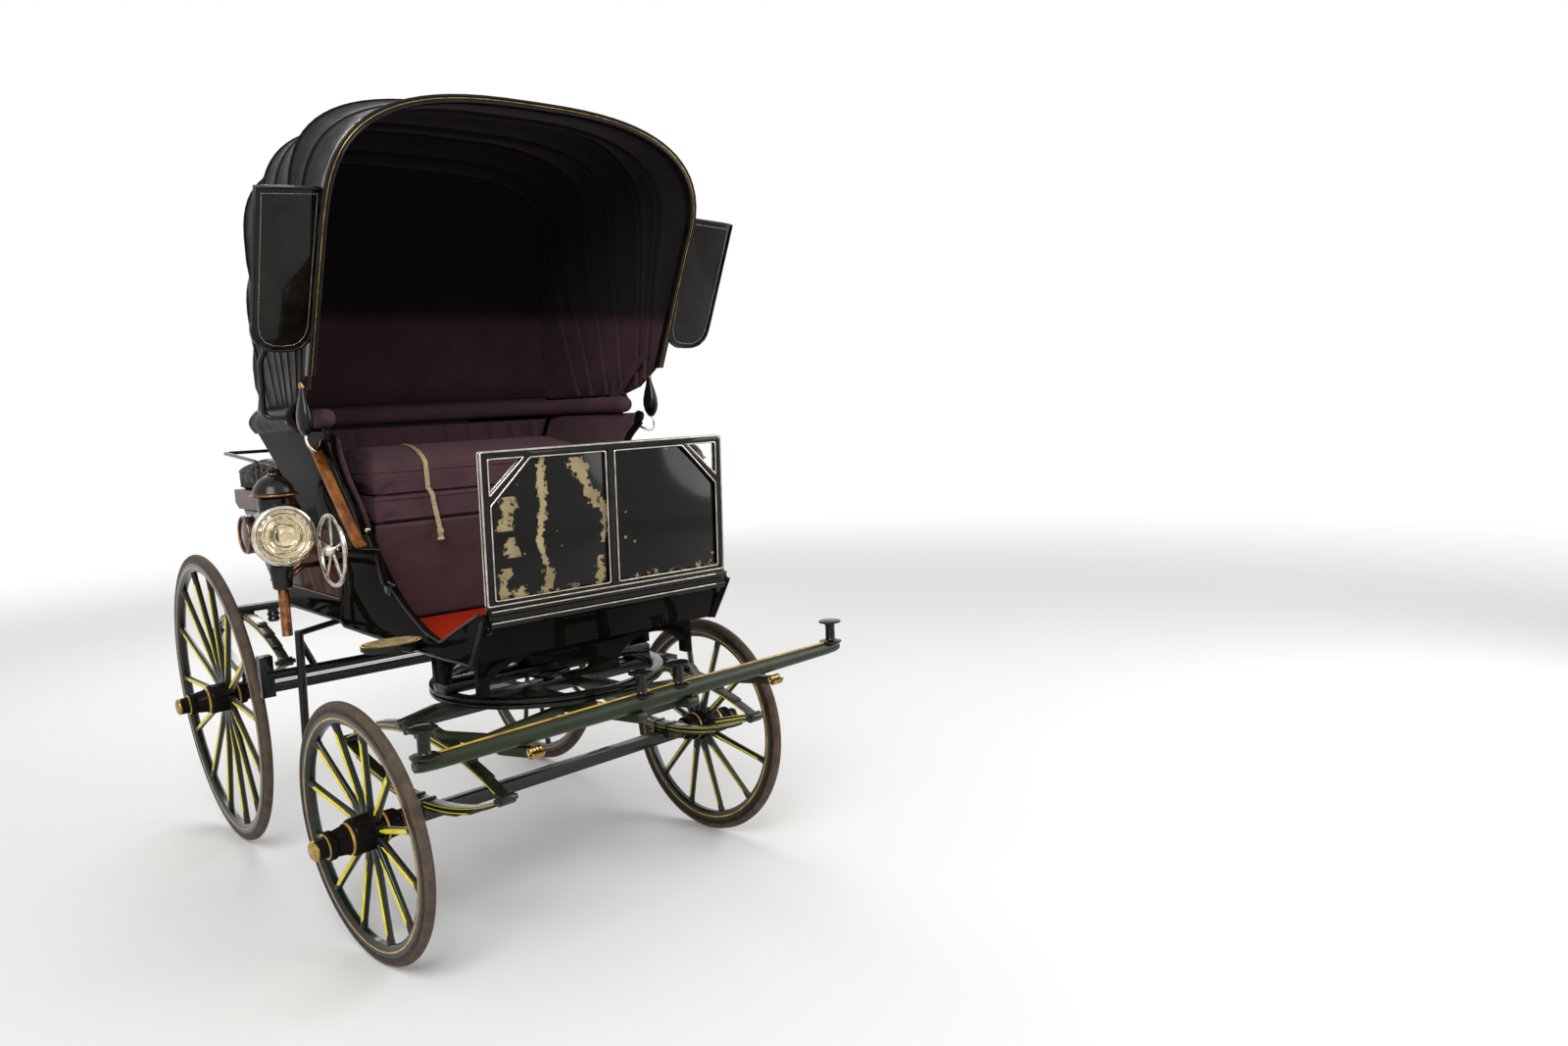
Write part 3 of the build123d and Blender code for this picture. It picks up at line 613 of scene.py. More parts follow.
def dressed(node, finish, bevel=1.5, body="carriage"):
    """A CAD node with its edges eased, in its own finish."""
    obj = cad_copy(node, node + "_finished", finish, bevel > 0)
    if bevel:
        ease_edges(obj, bevel, 38)
    return keep(shaded(settle(obj), 32), [node], body)


# Rules that repeat, as geometry nodes


def new_tree(name, sockets):
    """A geometry node tree with named inputs, its group input and its group output."""
    tree = bpy.data.node_groups.new(name, "GeometryNodeTree")
    tree.interface.new_socket("Geometry", in_out="INPUT", socket_type="NodeSocketGeometry")
    for label, kind, value in sockets:
        socket = tree.interface.new_socket(label, in_out="INPUT", socket_type="NodeSocket" + kind)
        socket.default_value = value
    tree.interface.new_socket("Material", in_out="INPUT", socket_type="NodeSocketMaterial")
    tree.interface.new_socket("Geometry", in_out="OUTPUT", socket_type="NodeSocketGeometry")
    return tree, add(tree, "NodeGroupInput").outputs


def close_tree(tree, geometry, given):
    """End a tree in Realize Instances and Set Material."""
    real = add(tree, "GeometryNodeRealizeInstances", {0: geometry})
    done = add(tree, "GeometryNodeSetMaterial", {"Geometry": real.outputs[0], "Material": given["Material"]})
    add(tree, "NodeGroupOutput", {0: done.outputs[0]})
    return tree


def ring_tree():
    """Copies of a shape turned about X, such as the spokes round a hub."""
    tree, given = new_tree("round_the_hub", [("Count", "Int", 12), ("Phase", "Float", 0.5)])
    line = add(tree, "GeometryNodeMeshLine", {"Count": given["Count"], "Offset": (0, 0, 0)})
    turn = maths(tree, "ADD", add(tree, "GeometryNodeInputIndex").outputs[0], given["Phase"])
    angle = maths(tree, "MULTIPLY", turn, maths(tree, "DIVIDE", 2 * pi, given["Count"]))
    spin = add(tree, "ShaderNodeCombineXYZ", {"X": angle})
    copies = add(tree, "GeometryNodeInstanceOnPoints", {
        "Points": line.outputs[0], "Instance": given["Geometry"], "Rotation": spin.outputs[0]})
    return close_tree(tree, copies.outputs[0], given)


def piping_tree():
    """A round cord, bead or iron along a line."""
    tree, given = new_tree("along_the_line", [("Radius", "Float", 0.004), ("Sides", "Int", 8)])
    circle = add(tree, "GeometryNodeCurvePrimitiveCircle", {
        "Resolution": given["Sides"], "Radius": given["Radius"]})
    pipe = add(tree, "GeometryNodeCurveToMesh", {
        "Curve": given["Geometry"], "Profile Curve": circle.outputs[0], "Fill Caps": True})
    soft = add(tree, "GeometryNodeSetShadeSmooth", {"Geometry": pipe.outputs[0]})
    return close_tree(tree, soft.outputs[0], given)


def stitch_tree():
    """Short grains laid along a line, such as stitches, studs and rivets."""
    tree, given = new_tree("stitches", [("Step", "Float", 0.009), ("Length", "Float", 0.006),
                                        ("Width", "Float", 0.002), ("Height", "Float", 0.002)])
    dots = add(tree, "GeometryNodeResampleCurve", {"Curve": given["Geometry"], "Length": given["Step"]},
               mode="LENGTH")
    points = add(tree, "GeometryNodeCurveToPoints", {"Curve": dots.outputs[0]}, mode="EVALUATED")
    grain = add(tree, "GeometryNodeMeshIcoSphere", {"Radius": 0.5, "Subdivisions": 2})
    size = add(tree, "ShaderNodeCombineXYZ", {
        "X": given["Width"], "Y": given["Height"], "Z": given["Length"]})
    copies = add(tree, "GeometryNodeInstanceOnPoints", {
        "Points": points.outputs["Points"], "Instance": grain.outputs[0],
        "Rotation": points.outputs["Rotation"], "Scale": size.outputs[0]})
    soft = add(tree, "GeometryNodeSetShadeSmooth", {"Geometry": copies.outputs[0]})
    return close_tree(tree, soft.outputs[0], given)


def skin_of(obj):
    """A finished piece's skin, to lay other things on."""
    return BVHTree.FromPolygons([v.co for v in obj.data.vertices], [p.vertices for p in obj.data.polygons])


def laid(skin, points, toward, lift=0.0):
    """Points in mm, moved toward a skin until they meet it; those that miss are left out."""
    back, out = HERE.inverted(), []
    for point in points:
        spot, normal, _, _ = skin.ray_cast(HERE @ Vector(point), Vector(toward))
        if spot:
            out.append(tuple(back @ (spot + normal * lift / 1000)))
    return out


def through_tree(obj, tree, finish, **inputs):
    """Run an object through a tree and keep the result as a plain mesh at the origin."""
    rule = obj.modifiers.new(tree, "NODES")
    rule.node_group = TREES[tree]
    for item in TREES[tree].interface.items_tree:
        if item.item_type == "SOCKET" and item.in_out == "INPUT":
            if item.name == "Material":
                rule[item.identifier] = FINISH[finish]
            elif item.name in inputs:
                rule[item.identifier] = inputs[item.name]
    return settle(obj)


def lines(name, paths, finish, slot, tree="along_the_line", body="carriage", place=HERE, closed=False,
          **inputs):
    """Run one or more lines through a tree: piping, beading, irons or stitches."""
    data = bpy.data.curves.new(name, "CURVE")
    data.dimensions = "3D"
    for path in paths:
        spline = data.splines.new("POLY")
        spline.points.add(len(path) - 1)
        for point, spot in zip(spline.points, path):
            point.co = (*(place @ Vector(spot)), 1)
        spline.use_cyclic_u = closed
    return keep(through_tree(in_scene(name, data), tree, finish, **inputs), body=body)


def round_hub(name, shape, finish, count, place, body):
    """Copies of a shape round the wheel's axis."""
    one = shaped(name, shape, finish, MILLI, 40)
    ring = through_tree(one, "round_the_hub", finish, Count=count)
    ring.data.transform(place @ MILLI.inverted())
    return keep(ring, body=body)


# Operators


# The stage's lights: name, place, what they aim at, size in metres, power in watts.
LIGHTS = (("key", (-3.6, -4.6, 5.2), (0, 0, 1.0), 4.0, 330),
          ("fill", (4.6, -3.4, 3.0), (0, 0, 1.2), 4.0, 130),
          ("back", (1.5, 5.0, 4.5), (0, 0, 1.2), 3.5, 150))
# The camera: turn, dip and roll in degrees, place in metres, lens in mm on a sensor 36 mm wide.
CAMERA = dict(turn=-40.761, dip=6.288, roll=-2.833, spot=(-1.8732, -4.1287, 1.6831), lens=25.79)
WHITE = (1, 1, 1, 1)


class PHAETON_OT_stage(bpy.types.Operator):
    """Pale floor, soft light and the camera"""
    bl_idname = "phaeton.stage"
    bl_label = "Stage"

    def execute(self, context):
        floor = bpy.data.meshes.new("floor_disc")
        edge = [(40 * cos(k * pi / 32), 40 * sin(k * pi / 32), 0) for k in range(64)]
        floor.from_pydata(edge, [], [range(64)])
        floor.materials.append(self.pale_floor())
        in_scene("pale_floor", floor)
        self.sky(context)
        for name, spot, aim, size, power in LIGHTS:
            light = bpy.data.lights.new(name, "AREA")
            light.shape = "DISK"
            light.size = size
            light.energy = power
            lamp = in_scene(name, light)
            lamp.location = spot
            lamp.rotation_euler = (Vector(aim) - Vector(spot)).to_track_quat("-Z", "Y").to_euler()
        self.camera(context)
        context.scene.view_settings.view_transform = "Standard"
        return {"FINISHED"}

    def pale_floor(self):
        """Pale matt floor that fades to plain white far off."""
        grey = {"Base Color": (0.8, 0.8, 0.79, 1), "Roughness": 0.9}
        made, tree, shader, place = blank("pale_floor_paint", grey)
        far = add(tree, "ShaderNodeVectorMath", {0: place}, operation="LENGTH").outputs["Value"]
        share = add(tree, "ShaderNodeMapRange", {"Value": far, "From Min": 3.5, "From Max": 12.0},
                    interpolation_type="SMOOTHSTEP").outputs[0]
        amount = maths(tree, "MULTIPLY", share, white_where_seen(tree))
        glow = add(tree, "ShaderNodeEmission", {"Color": WHITE, "Strength": 1.0})
        both = add(tree, "ShaderNodeMixShader", {0: amount, 1: shader.outputs[0], 2: glow.outputs[0]})
        end = next(n for n in tree.nodes if n.type == "OUTPUT_MATERIAL")
        tree.links.new(both.outputs[0], end.inputs["Surface"])
        return made

    def sky(self, context):
        """An even pale sky, plain white where it is seen."""
        world = bpy.data.worlds.new("pale_sky")
        context.scene.world = world
        world.use_nodes = True
        tree = world.node_tree
        tree.nodes.clear()
        light = add(tree, "ShaderNodeBackground", {"Color": WHITE, "Strength": 0.55}).outputs[0]
        white = add(tree, "ShaderNodeBackground", {"Color": WHITE, "Strength": 1.0}).outputs[0]
        both = add(tree, "ShaderNodeMixShader", {0: white_where_seen(tree), 1: light, 2: white})
        add(tree, "ShaderNodeOutputWorld", {"Surface": both.outputs[0]})

    def camera(self, context):
        """The camera at the photograph's place and angle."""
        turn, dip, roll = (radians(CAMERA[name]) for name in ("turn", "dip", "roll"))
        back = Vector((sin(turn) * cos(dip), -cos(turn) * cos(dip), sin(dip)))
        level = (-back).cross(Vector((0, 0, 1))).normalized()
        up = level.cross(-back)
        right = cos(roll) * level + sin(roll) * up
        top = cos(roll) * up - sin(roll) * level
        data = bpy.data.cameras.new("view")
        data.sensor_width = 36
        data.lens = CAMERA["lens"]
        camera = in_scene("view", data)
        camera.matrix_world = Matrix((right, top, back)).transposed().to_4x4()
        camera.location = CAMERA["spot"]
        context.scene.camera = camera


def white_where_seen(tree):
    """1 where the camera, a reflection or glass sees the surface."""
    path = add(tree, "ShaderNodeLightPath").outputs
    first = maths(tree, "MAXIMUM", path["Is Camera Ray"], path["Is Glossy Ray"])
    return maths(tree, "MAXIMUM", first, path["Is Transmission Ray"])


# Profiles of the wheels' turned parts: place along the axle from the rim plane, radius.
HUB = [(-72, 46), (-70, 50), (-66, 52), (-58, 52), (-54, 55), (-50, 56), (-40, 58), (-36, 58), (28, 58),
       (34, 58), (40, 56), (42, 54), (46, 49), (54, 49), (56, 46), (60, 45), (92, 40), (95, 43), (98, 45),
       (112, 45), (115, 42), (116, 38), (116, 0)]
HUB_CAP = [(112, 30), (112, 38.5), (118, 38), (120, 35), (122, 33), (128, 32), (150, 31), (150, 0)]
HUB_TIP = [(149, 0), (149, 32), (152, 33), (156, 32), (158, 29), (161, 26), (163, 20), (164, 12), (164, 0)]
HUB_COLLAR = [(115, 30), (115, 39), (118, 39.5), (121, 36.5), (121, 30), (115, 30)]
# The same, with the radius measured from the felloe's outer face.
CHANNEL = [(-19, -3), (-19, 9), (-17, 10), (-16, 2), (16, 2), (17, 10), (19, 9), (19, -3), (-19, -3)]
RUBBER = [(-14, 1), (-17, 9), (-17, 13), (-15.5, 19), (-12, 24.5), (-6.5, 28.6), (0, 30), (6.5, 28.6),
          (12, 24.5), (15.5, 19), (17, 13), (17, 9), (14, 1), (-14, 1)]
# A spoke: share of its length, half width, half depth, squareness.
SPOKE = ((0, 15, 11, 4.0), (0.10, 15, 11, 4.0), (0.2, 13.5, 11.5, 2.6), (0.35, 12.5, 12, 2.1),
         (0.7, 11.5, 11.5, 2.0), (0.93, 11.5, 11.5, 2.0), (0.965, 13, 12.5, 2.2), (1, 13, 12.5, 2.2))
SPOKE_FOOT = 46            # the radius at which the spokes start, inside the hub
# The line on a spoke: share of the spoke's length, share of the line's width.
SPOKE_LINE = ((0.17, 0.05), (0.21, 1), (0.35, 1), (0.7, 1), (0.88, 1), (0.92, 0.05))


def wheel_place(w, s):
    """Where a wheel built about +X sits on its axle arm."""
    arm = Matrix.Translation((s * TRACK, w["y"], w["r"]))
    dip = Matrix.Rotation(radians(CAMBER if s > 0 else 180 - CAMBER), 4, "Y")
    return (FORE if w is FRONT else HERE) @ arm @ dip


class PHAETON_OT_wheels(bpy.types.Operator):
    """Four wheels: hub, spokes, felloe, lining and rubber"""
    bl_idname = "phaeton.wheels"
    bl_label = "Wheels"

    def execute(self, context):
        half_line = context.scene.phaeton_sizes.line_width * 1000 / 2
        for w, end in ((FRONT, "front"), (REAR, "rear")):
            for s, side in SIDES:
                name = f"{end}_{side}"
                place = wheel_place(w, s)
                rim_i = self.turned(w, place, name, [f"{end}_wheel_{side}"], [f"{end}_tyre_{side}"])
                self.spokes(w, place, name, rim_i, half_line)
        return {"FINISHED"}

    def turned(self, w, place, name, wheel_node, tyre_node):
        """The turned parts of a wheel; returns the felloe's inner radius."""
        rim_o = w["r"] - TYRE_D
        rim_i = rim_o - FELLOE_D
        half = FELLOE_W / 2
        back = w["back"]
        hub = [(back, 24), (back, 40), (back + 3, 43), (back + 8, 44)] + HUB
        rings = [band(46, 54, 40, 49.9, 48), band(-66, -59, 40, 52.8, 48)]
        felloe = [(-half + 3, rim_o), (half - 3, rim_o), (half, rim_o - 3), (half, rim_i + 12),
                  (half - 4, rim_i + 5), (half - 10, rim_i), (10 - half, rim_i), (4 - half, rim_i + 5),
                  (-half, rim_i + 12), (-half, rim_o - 3), (-half + 3, rim_o)]
        stripes = [band(s * (half - 0.3), s * (half + 0.5), rim_i + 17, rim_i + 23, 112) for s, _ in SIDES]
        channel, rubber = ([(x, rim_o + out) for x, out in profile] for profile in (CHANNEL, RUBBER))
        for part, shapes, finish, slot, replaces in (
                ("_hub", [lathe(hub)], "lacquer", "black_iron", wheel_node),
                ("_hub_cap", [lathe(HUB_CAP)], "lacquer", "black_iron", ()),
                ("_hub_tip", [lathe(HUB_TIP), lathe(HUB_COLLAR)], "brass", "brass", ()),
                ("_hub_lines", rings, "ochre", "green_wood", ()),
                ("_felloe", [lathe(felloe, 112)], "gear", "green_wood", ()),
                ("_felloe_lines", stripes, "ochre", "green_wood", ()),
                ("_channel", [lathe(channel, 112)], "channel", "tyre", ()),
                ("_rubber", [lathe(rubber, 128)], "rubber", "tyre", tyre_node)):
            piece(name + part, joined(shapes), finish, slot, replaces, name + "_wheel", place=place)
        return rim_i

    def spokes(self, w, place, name, rim_i, half_line):
        """Spokes square at the hub and round above, each with a pointed line on its outer and inner face."""
        reach, n = rim_i + 4 - SPOKE_FOOT, 14
        rings, points = [], []
        for q, wide, deep, square in SPOKE:
            up, lean = SPOKE_FOOT + q * reach, DISH * (q - 1)
            ring = []
            for k in range(n):
                a = 2 * pi * k / n
                x = deep * abs(cos(a)) ** (2 / square) * (1 if cos(a) > 0 else -1)
                y = wide * abs(sin(a)) ** (2 / square) * (1 if sin(a) > 0 else -1)
                ring.append((lean + x, y, up))
            rings.append(ring)
            points.append((up, lean, deep))
        round_hub(name + "_spokes", loft(rings), "gear", w["spokes"], place, name + "_wheel")
        bands = []
        for side, wide in ((1, half_line), (-1, half_line * 0.45)):
            rows = []
            for q, share in SPOKE_LINE:
                up = SPOKE_FOOT + q * reach
                (a, lean, deep), (b, lean_b, deep_b) = next(
                    pair for pair in zip(points, points[1:]) if pair[0][0] <= up <= pair[1][0])
                t = (up - a) / (b - a)
                lean += t * (lean_b - lean)
                deep += t * (deep_b - deep)
                row = []
                for across in (-1, -0.5, 0, 0.5, 1):
                    y = across * wide * share
                    row.append((lean + side * (deep * (1 - (y / 12.5) ** 2) ** 0.5 + 0.45), y, up))
                row += [(lean + side * deep * 0.6, edge * wide * share, up) for edge in (1, -1)]
                rows.append(row)
            bands.append(loft(rows))
        round_hub(name + "_spoke_lines", joined(bands), "line", w["spokes"], place, name + "_wheel")


SPRINGS = ((SPRING_F, "fore_carriage", FORE), (SPRING_R, "carriage", HERE))
# CAD nodes of the running gear that are dressed: name, finish, bevel.
GEAR = {
    "fore_carriage": (("front_axle", "gear", 2), ("front_spring_left", "gear", 1),
                      ("front_spring_right", "gear", 1), ("fore_bed", "gear", 3), ("fore_ring", "iron", 1.5),
                      ("futchells", "bar", 3), ("splinter_bar", "bar", 0), ("roller_bolts", "iron", 1)),
    "carriage": (("top_ring", "iron", 1.5), ("top_bed", "iron", 3), ("front_pillow", "lacquer", 3),
                 ("front_transom", "lacquer", 3), ("rear_axle", "gear", 2), ("rear_spring_left", "gear", 1),
                 ("rear_spring_right", "gear", 1), ("rear_bed", "gear", 3))}


class PHAETON_OT_running_gear(bpy.types.Operator):
    """Axles, springs, turntable, futchells and splinter bar"""
    bl_idname = "phaeton.running_gear"
    bl_label = "Running gear"

    def execute(self, context):
        for body, parts in GEAR.items():
            for node, finish, bevel in parts:
                dressed(node, finish, bevel, body)
        self.spring_lines()
        self.bar_lines()
        self.stay_scrolls()
        self.nuts()
        return {"FINISHED"}

    def nuts(self):
        """Nuts under the spring clips."""
        for spring, body, place in SPRINGS:
            low = spring["low"] - len(SHARES) * spring["leaf"] - 13
            shape = joined([hexagon((s * spring["x"] + e * 20, spring["y"] + f * 34, low), 9, 11)
                            for s in (1, -1) for e in (1, -1) for f in (1, -1)])
            piece(body + "_clip_nuts", shape, "iron", "black_iron", (), body, place=place, smooth=20)

    def spring_lines(self):
        """Yellow lines along both edges of every other leaf."""
        for spring, body, place in SPRINGS:
            paths = []
            for z, up in ((spring["low"], 1), (spring["top"], -1)):
                rise = abs(spring["eye"] - z)
                rad = (spring["half"] ** 2 + rise * rise) / (2 * rise)
                for k in (0, 2):
                    a = atan2(spring["half"], rad - rise) * SHARES[k] * 0.94 / 12
                    r = rad + (k + 0.5) * spring["leaf"]
                    arc = [(spring["y"] + r * sin(a * q), z + up * (rad - r * cos(a * q)))
                           for q in range(-12, 13)]
                    for s in (1, -1):
                        for face in (1, -1):
                            x = s * spring["x"] + face * (spring["width"] / 2 + 0.2)
                            paths.append([(x, *spot) for spot in arc])
            lines(f"{body}_spring_lines", paths, "line", "green_iron", body=body, place=place, Radius=0.0014,
                  Sides=6)

    def bar_lines(self):
        """The ochre line along the splinter bar, and the yellow lines on the futchells and stays."""
        half, y, z = BAR["half"], BAR["y"], BAR["z"]
        top = [(x, y, z + 28.2 - 7 * abs(x) / half) for x in range(-780, 781, 30)]
        lines("splinter_bar_line", [top], "ochre", "green_wood", body="fore_carriage", place=FORE,
              Radius=0.0042)
        stay = filleted([(500, -60, 900), (512, -170, 900), (430, -300, 900), (486, -470, 900),
                         (482, -600, 900)], 60)
        stay = [(x, y, 760) for x, y, _ in stay[1:]]
        edge = [(102, y, 860) for y in range(-420, -585, -15)]
        skin = skin_of(bpy.data.objects["futchells_finished"])
        turn = HERE.inverted() @ FORE
        paths = [laid(skin, [turn @ Vector(p) for p in path], (0, 0, -1), 0.6)
                 for path in (stay, mirrored(stay), edge, mirrored(edge))]
        lines("futchell_lines", paths, "line", "green_wood", body="fore_carriage", Radius=0.0026, Sides=6)

    def stay_scrolls(self):
        """The ribbed scrolls on the stays' ends: four ribs side by side, each coiled inwards."""
        ribs = []
        for s in (1, -1):
            for k in range(4):
                coil = [(19 - 0.9 * q, q * pi / 8) for q in range(19)]
                ribs.append([(s * 482 - 16 + 10.5 * k, -636 - r * cos(a), 738 - r * sin(a)) for r, a in coil])
        obj = lines("stay_scroll_ribs", ribs, "brass", "brass", body="fore_carriage", place=FORE,
                    Radius=0.0052, Sides=10)
        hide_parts("stay_scrolls")


class PHAETON_OT_body(bpy.types.Operator):
    """Body sides, floor, carpet, seat box, boot and seat panels"""
    bl_idname = "phaeton.body"
    bl_label = "Body"

    def execute(self, context):
        for node, finish, bevel in (("side_panel_left", "lacquer", 4), ("side_panel_right", "lacquer", 4),
                                    ("floor", "lacquer", 2), ("seat_box", "lacquer", 1), ("boot", "brown", 3),
                                    ("seat_side_left", "lacquer", 5), ("seat_side_right", "lacquer", 5),
                                    ("seat_back", "lacquer", 4), ("carpet", "carpet", 1.5)):
            dressed(node, finish, bevel)
        self.mouldings()
        return {"FINISHED"}

    def mouldings(self):
        """Half round mouldings on the edges of the sides, the seat and the boot."""
        x = BODY_IN + PANEL
        foot = [(x, -455, 1105), (x, -300, 1041), (x, -167, 986)]
        sweep = [(x, -167, 986), (x, -60, 1006), (x, 122, 1086), (x, 240, 1170), (x, 372, 1320)]
        low = [(x, -470, 1085), (x, -430, 1023), (x, -375, 942), (x, -200, 938), (x, 60, 935), (x, 660, 935),
               (x, 700, 951), (x, 1400, 951)]
        paths = [curve_through(foot, 8), curve_through(sweep, 8), low,
                 [seat_side(up, 21) for up in range(0, 351, 14)],
                 [(447, y, 1030) for y in range(710, 1521, 30)],
                 [(447, y, 1312) for y in range(710, 1811, 30)]]
        paths += [mirrored(path) for path in paths]
        lines("body_mouldings", paths, "patent", "black_panel", Radius=0.0055, Sides=10)


# The front edge of a seat side: height along the side, y.
SEAT_EDGE = [(0, 350), (90, 312), (200, 300), (300, 262), (350, 215), (386, 250)]
SEAT_TOP = 350


def seat_side(up, out):
    """A point on the front edge of the driver's left seat side, out mm from its inner face."""
    y = next(a[1] + (b[1] - a[1]) * (up - a[0]) / (b[0] - a[0])
             for a, b in zip(SEAT_EDGE, SEAT_EDGE[1:]) if up <= b[0])
    lean = radians(LEAN)
    return BODY_IN + PANEL + up * sin(lean) + out * cos(lean), y, 1300 + up * cos(lean) - out * sin(lean)


def stuffed(node, finish, cap, smaller, sewn=None):
    """A cushion blown up from its CAD solid: shrunk by smaller mm, swelled as cloth, held within cap mm.

    sewn gives how deep, in metres, its channels draw in at a point and its normal.
    Returns the cushion's skin, on which other things are laid."""
    obj = cad_copy(node, node + "_stuffed", finish)
    skin = obj.modifiers.new("skin", "REMESH")
    skin.mode = "VOXEL"
    skin.voxel_size = 0.006
    skin.use_smooth_shade = True
    obj = settle(obj)
    drawn_in(obj.data, lambda spot, outwards: smaller / 1000)
    rest = [v.co.copy() for v in obj.data.vertices]
    obj = blown_up(obj)
    for v, start in zip(obj.data.vertices, rest):
        step = v.co - start
        if step.length > cap / 1000:
            v.co = start + step * (cap / 1000 / step.length)
    ease = obj.modifiers.new("ease", "SMOOTH")
    ease.factor = 0.5
    ease.iterations = 6
    obj = modified(obj, 180, sub=1)
    if sewn:
        drawn_in(obj.data, sewn)
    keep(obj, [node])
    return skin_of(obj)


def drawn_in(mesh, depth):
    """Move each vertex against its normal by depth(point, normal) metres."""
    normals = [v.normal.copy() for v in mesh.vertices]
    for v, outwards in zip(mesh.vertices, normals):
        v.co -= outwards * depth(v.co, outwards)
    mesh.update()


def blown_up(obj):
    """Swell a closed skin with pressure for 20 frames of cloth simulation."""
    rules = obj.modifiers.new("swell", "CLOTH").settings
    rules.use_pressure = True
    rules.uniform_pressure_force = 4
    rules.quality = 5
    rules.mass = 0.3
    rules.tension_stiffness = 12
    rules.effector_weights.gravity = 0
    for number in range(1, 21):
        bpy.context.scene.frame_set(number)
    obj = settle(obj)
    bpy.context.scene.frame_set(1)
    return obj


def piping(name, skin_lines, finish, slot, radius):
    """Piping along lines that met a cushion's skin; lines of a few points missed it."""
    lines(name, [line for line in skin_lines if len(line) > 4], finish, slot, Radius=radius)


class PHAETON_OT_seat(bpy.types.Operator):
    """Driving seat: cushions, back, roll, cloth sides, straps and fall"""
    bl_idname = "phaeton.seat"
    bl_label = "Driving seat"

    def execute(self, context):
        skins = {}
        for node, fill, cap, smaller, sewn in (("seat_cushion", 0.6, 10, 3, None),
                                               ("driver_cushion", 0.7, 14, 4, None),
                                               ("back_cushion", 0.6, 10, 4, self.pleats),
                                               ("seat_roll", 0.9, 5, 2, None)):
            skins[node] = stuffed(node, "cloth", cap, smaller, sewn)
        self.cushion_piping(skins)
        self.sides()
        self.straps(skins["driver_cushion"])
        self.fall()
        return {"FINISHED"}

    @staticmethod
    def pleats(spot, outwards):
        """Upright channels 95 mm apart that fade towards the top and the foot of the back."""
        if outwards.y > -0.3:
            return 0.0
        fade = min(1.0, max(0.0, (spot.z - 1.40) / 0.08), max(0.0, (1.665 - spot.z) / 0.03))
        return 0.009 * fade * (0.5 + 0.5 * cos(spot.x * 2 * pi / 0.095)) ** 3

    def cushion_piping(self, skins):
        """Piping along the front edges of both cushions and the sides of the driver's."""
        paths = []
        for node, z in (("driver_cushion", 1500), ("driver_cushion", 1428), ("seat_cushion", 1404),
                        ("seat_cushion", 1334)):
            front = [(x, 200, z) for x in range(-416, 417, 16)]
            paths.append(laid(skins[node], front, (0, 1, 0), 1.0))
        for z in (1500, 1428):
            for s in (1, -1):
                side = [(s * 560, y, z) for y in range(380, 710, 20)]
                paths.append(laid(skins["driver_cushion"], side, (-s, 0, 0), 1.0))
        piping("cushion_piping", paths, "cloth", "purple_cloth", 0.0036)

    def sides(self):
        """Cloth on the inside of each seat side, the padded band down its front edge, and two cleats."""
        for s, side in SIDES:
            rows = []
            for i in range(25):
                up = 16 + 364 * i / 24
                y = seat_side(min(up, SEAT_TOP - 1), 0)[1]
                row = []
                for j in range(33):
                    q = j / 32
                    puff = 5 * abs(sin(pi * q * 5)) ** 0.6 * sin(pi * i / 24) ** 0.5
                    x, _, z = seat_side(up, -4 - puff)
                    row.append((s * x, y + 20 + q * (880 - y), z))
                rows.append(row)
            obj = sheet_piece(f"seat_side_cloth_{side}", rows, "cloth", "purple_cloth", 3)
            rings = []
            for up in range(-6, SEAT_TOP + 2, 8):
                x, y, z = seat_side(max(up, 0), -9)
                end = min(1.0, 0.35 + (up + 6) / 26, 0.35 + (SEAT_TOP + 1 - up) / 26)
                rings.append([(s * (x + end * 10 * cos(k * pi / 8)), y + 17 + end * 21 * sin(k * pi / 8),
                               z + min(up, 0)) for k in range(16)])
            pad = piece(f"seat_edge_pad_{side}", loft(rings), "cloth", "purple_cloth", smooth=60)
        cleat = lathe([(0, 0), (0, 9), (5, 9), (8, 6), (11, 7), (13, 4), (13, 0)], 20)
        cleats = [moved(cleat, Matrix.Translation((s * 470, 318, 1312)) @ AHEAD) for s, _ in SIDES]
        piece("seat_cleats", joined(cleats), "nickel", "steel")

    def straps(self, skin):
        """The webbing over the driver's cushion, and the tan strap from the seat to the brake shaft."""
        top = laid(skin, [(-204 - 0.1 * (600 - y), y, 1700) for y in range(600, 400, -20)], (0, 0, -1), 3.0)
        edge = laid(skin, [(-227, 150 + k, 1710 + k) for k in range(0, 50, 12)], (0, 0.707, -0.707), 5.0)
        face = [(-226 + 0.06 * (1480 - z), 200, z) for z in range(1480, 1430, -12)]
        face = laid(skin, face, (0, 1, 0), 3.5)
        edge = [p for p in edge if top[-1][1] > p[1] and p[2] > face[0][2]]
        hang = [(-222, 338, 1415), (-219, 337, 1390), (-215, 336, 1360), (-211, 334, 1330), (-207, 334, 1300),
                (-204, 334, 1284)]
        webbing = strip(curve_through(top + edge[::-1] + face + hang, 3), (1, 0, 0.05), 17, 3)
        piece("cushion_strap", webbing, "thread", "purple_cloth", smooth=50)
        knot = [ellipse((-204, 333, z), r, r * 0.7, 12) for z, r in (
            (1290, 5), (1286, 11), (1277, 13), (1268, 11), (1262, 8), (1256, 12), (1248, 14))]
        piece("cushion_strap_knot", loft(knot), "thread", "purple_cloth", smooth=60)
        path = [(-606, 352, 1612), (-607, 345, 1604), (-604, 310, 1558), (-597, 250, 1478), (-588, 180, 1384),
                (-580, 128, 1314), (-578, 108, 1296), (-577, 88, 1284)]
        piece("brake_strap", strip(curve_through(path, 4), (0.82, 0.42, 0), 46, 11), "strap", "brown_wood",
              smooth=50, bevel=1.5)

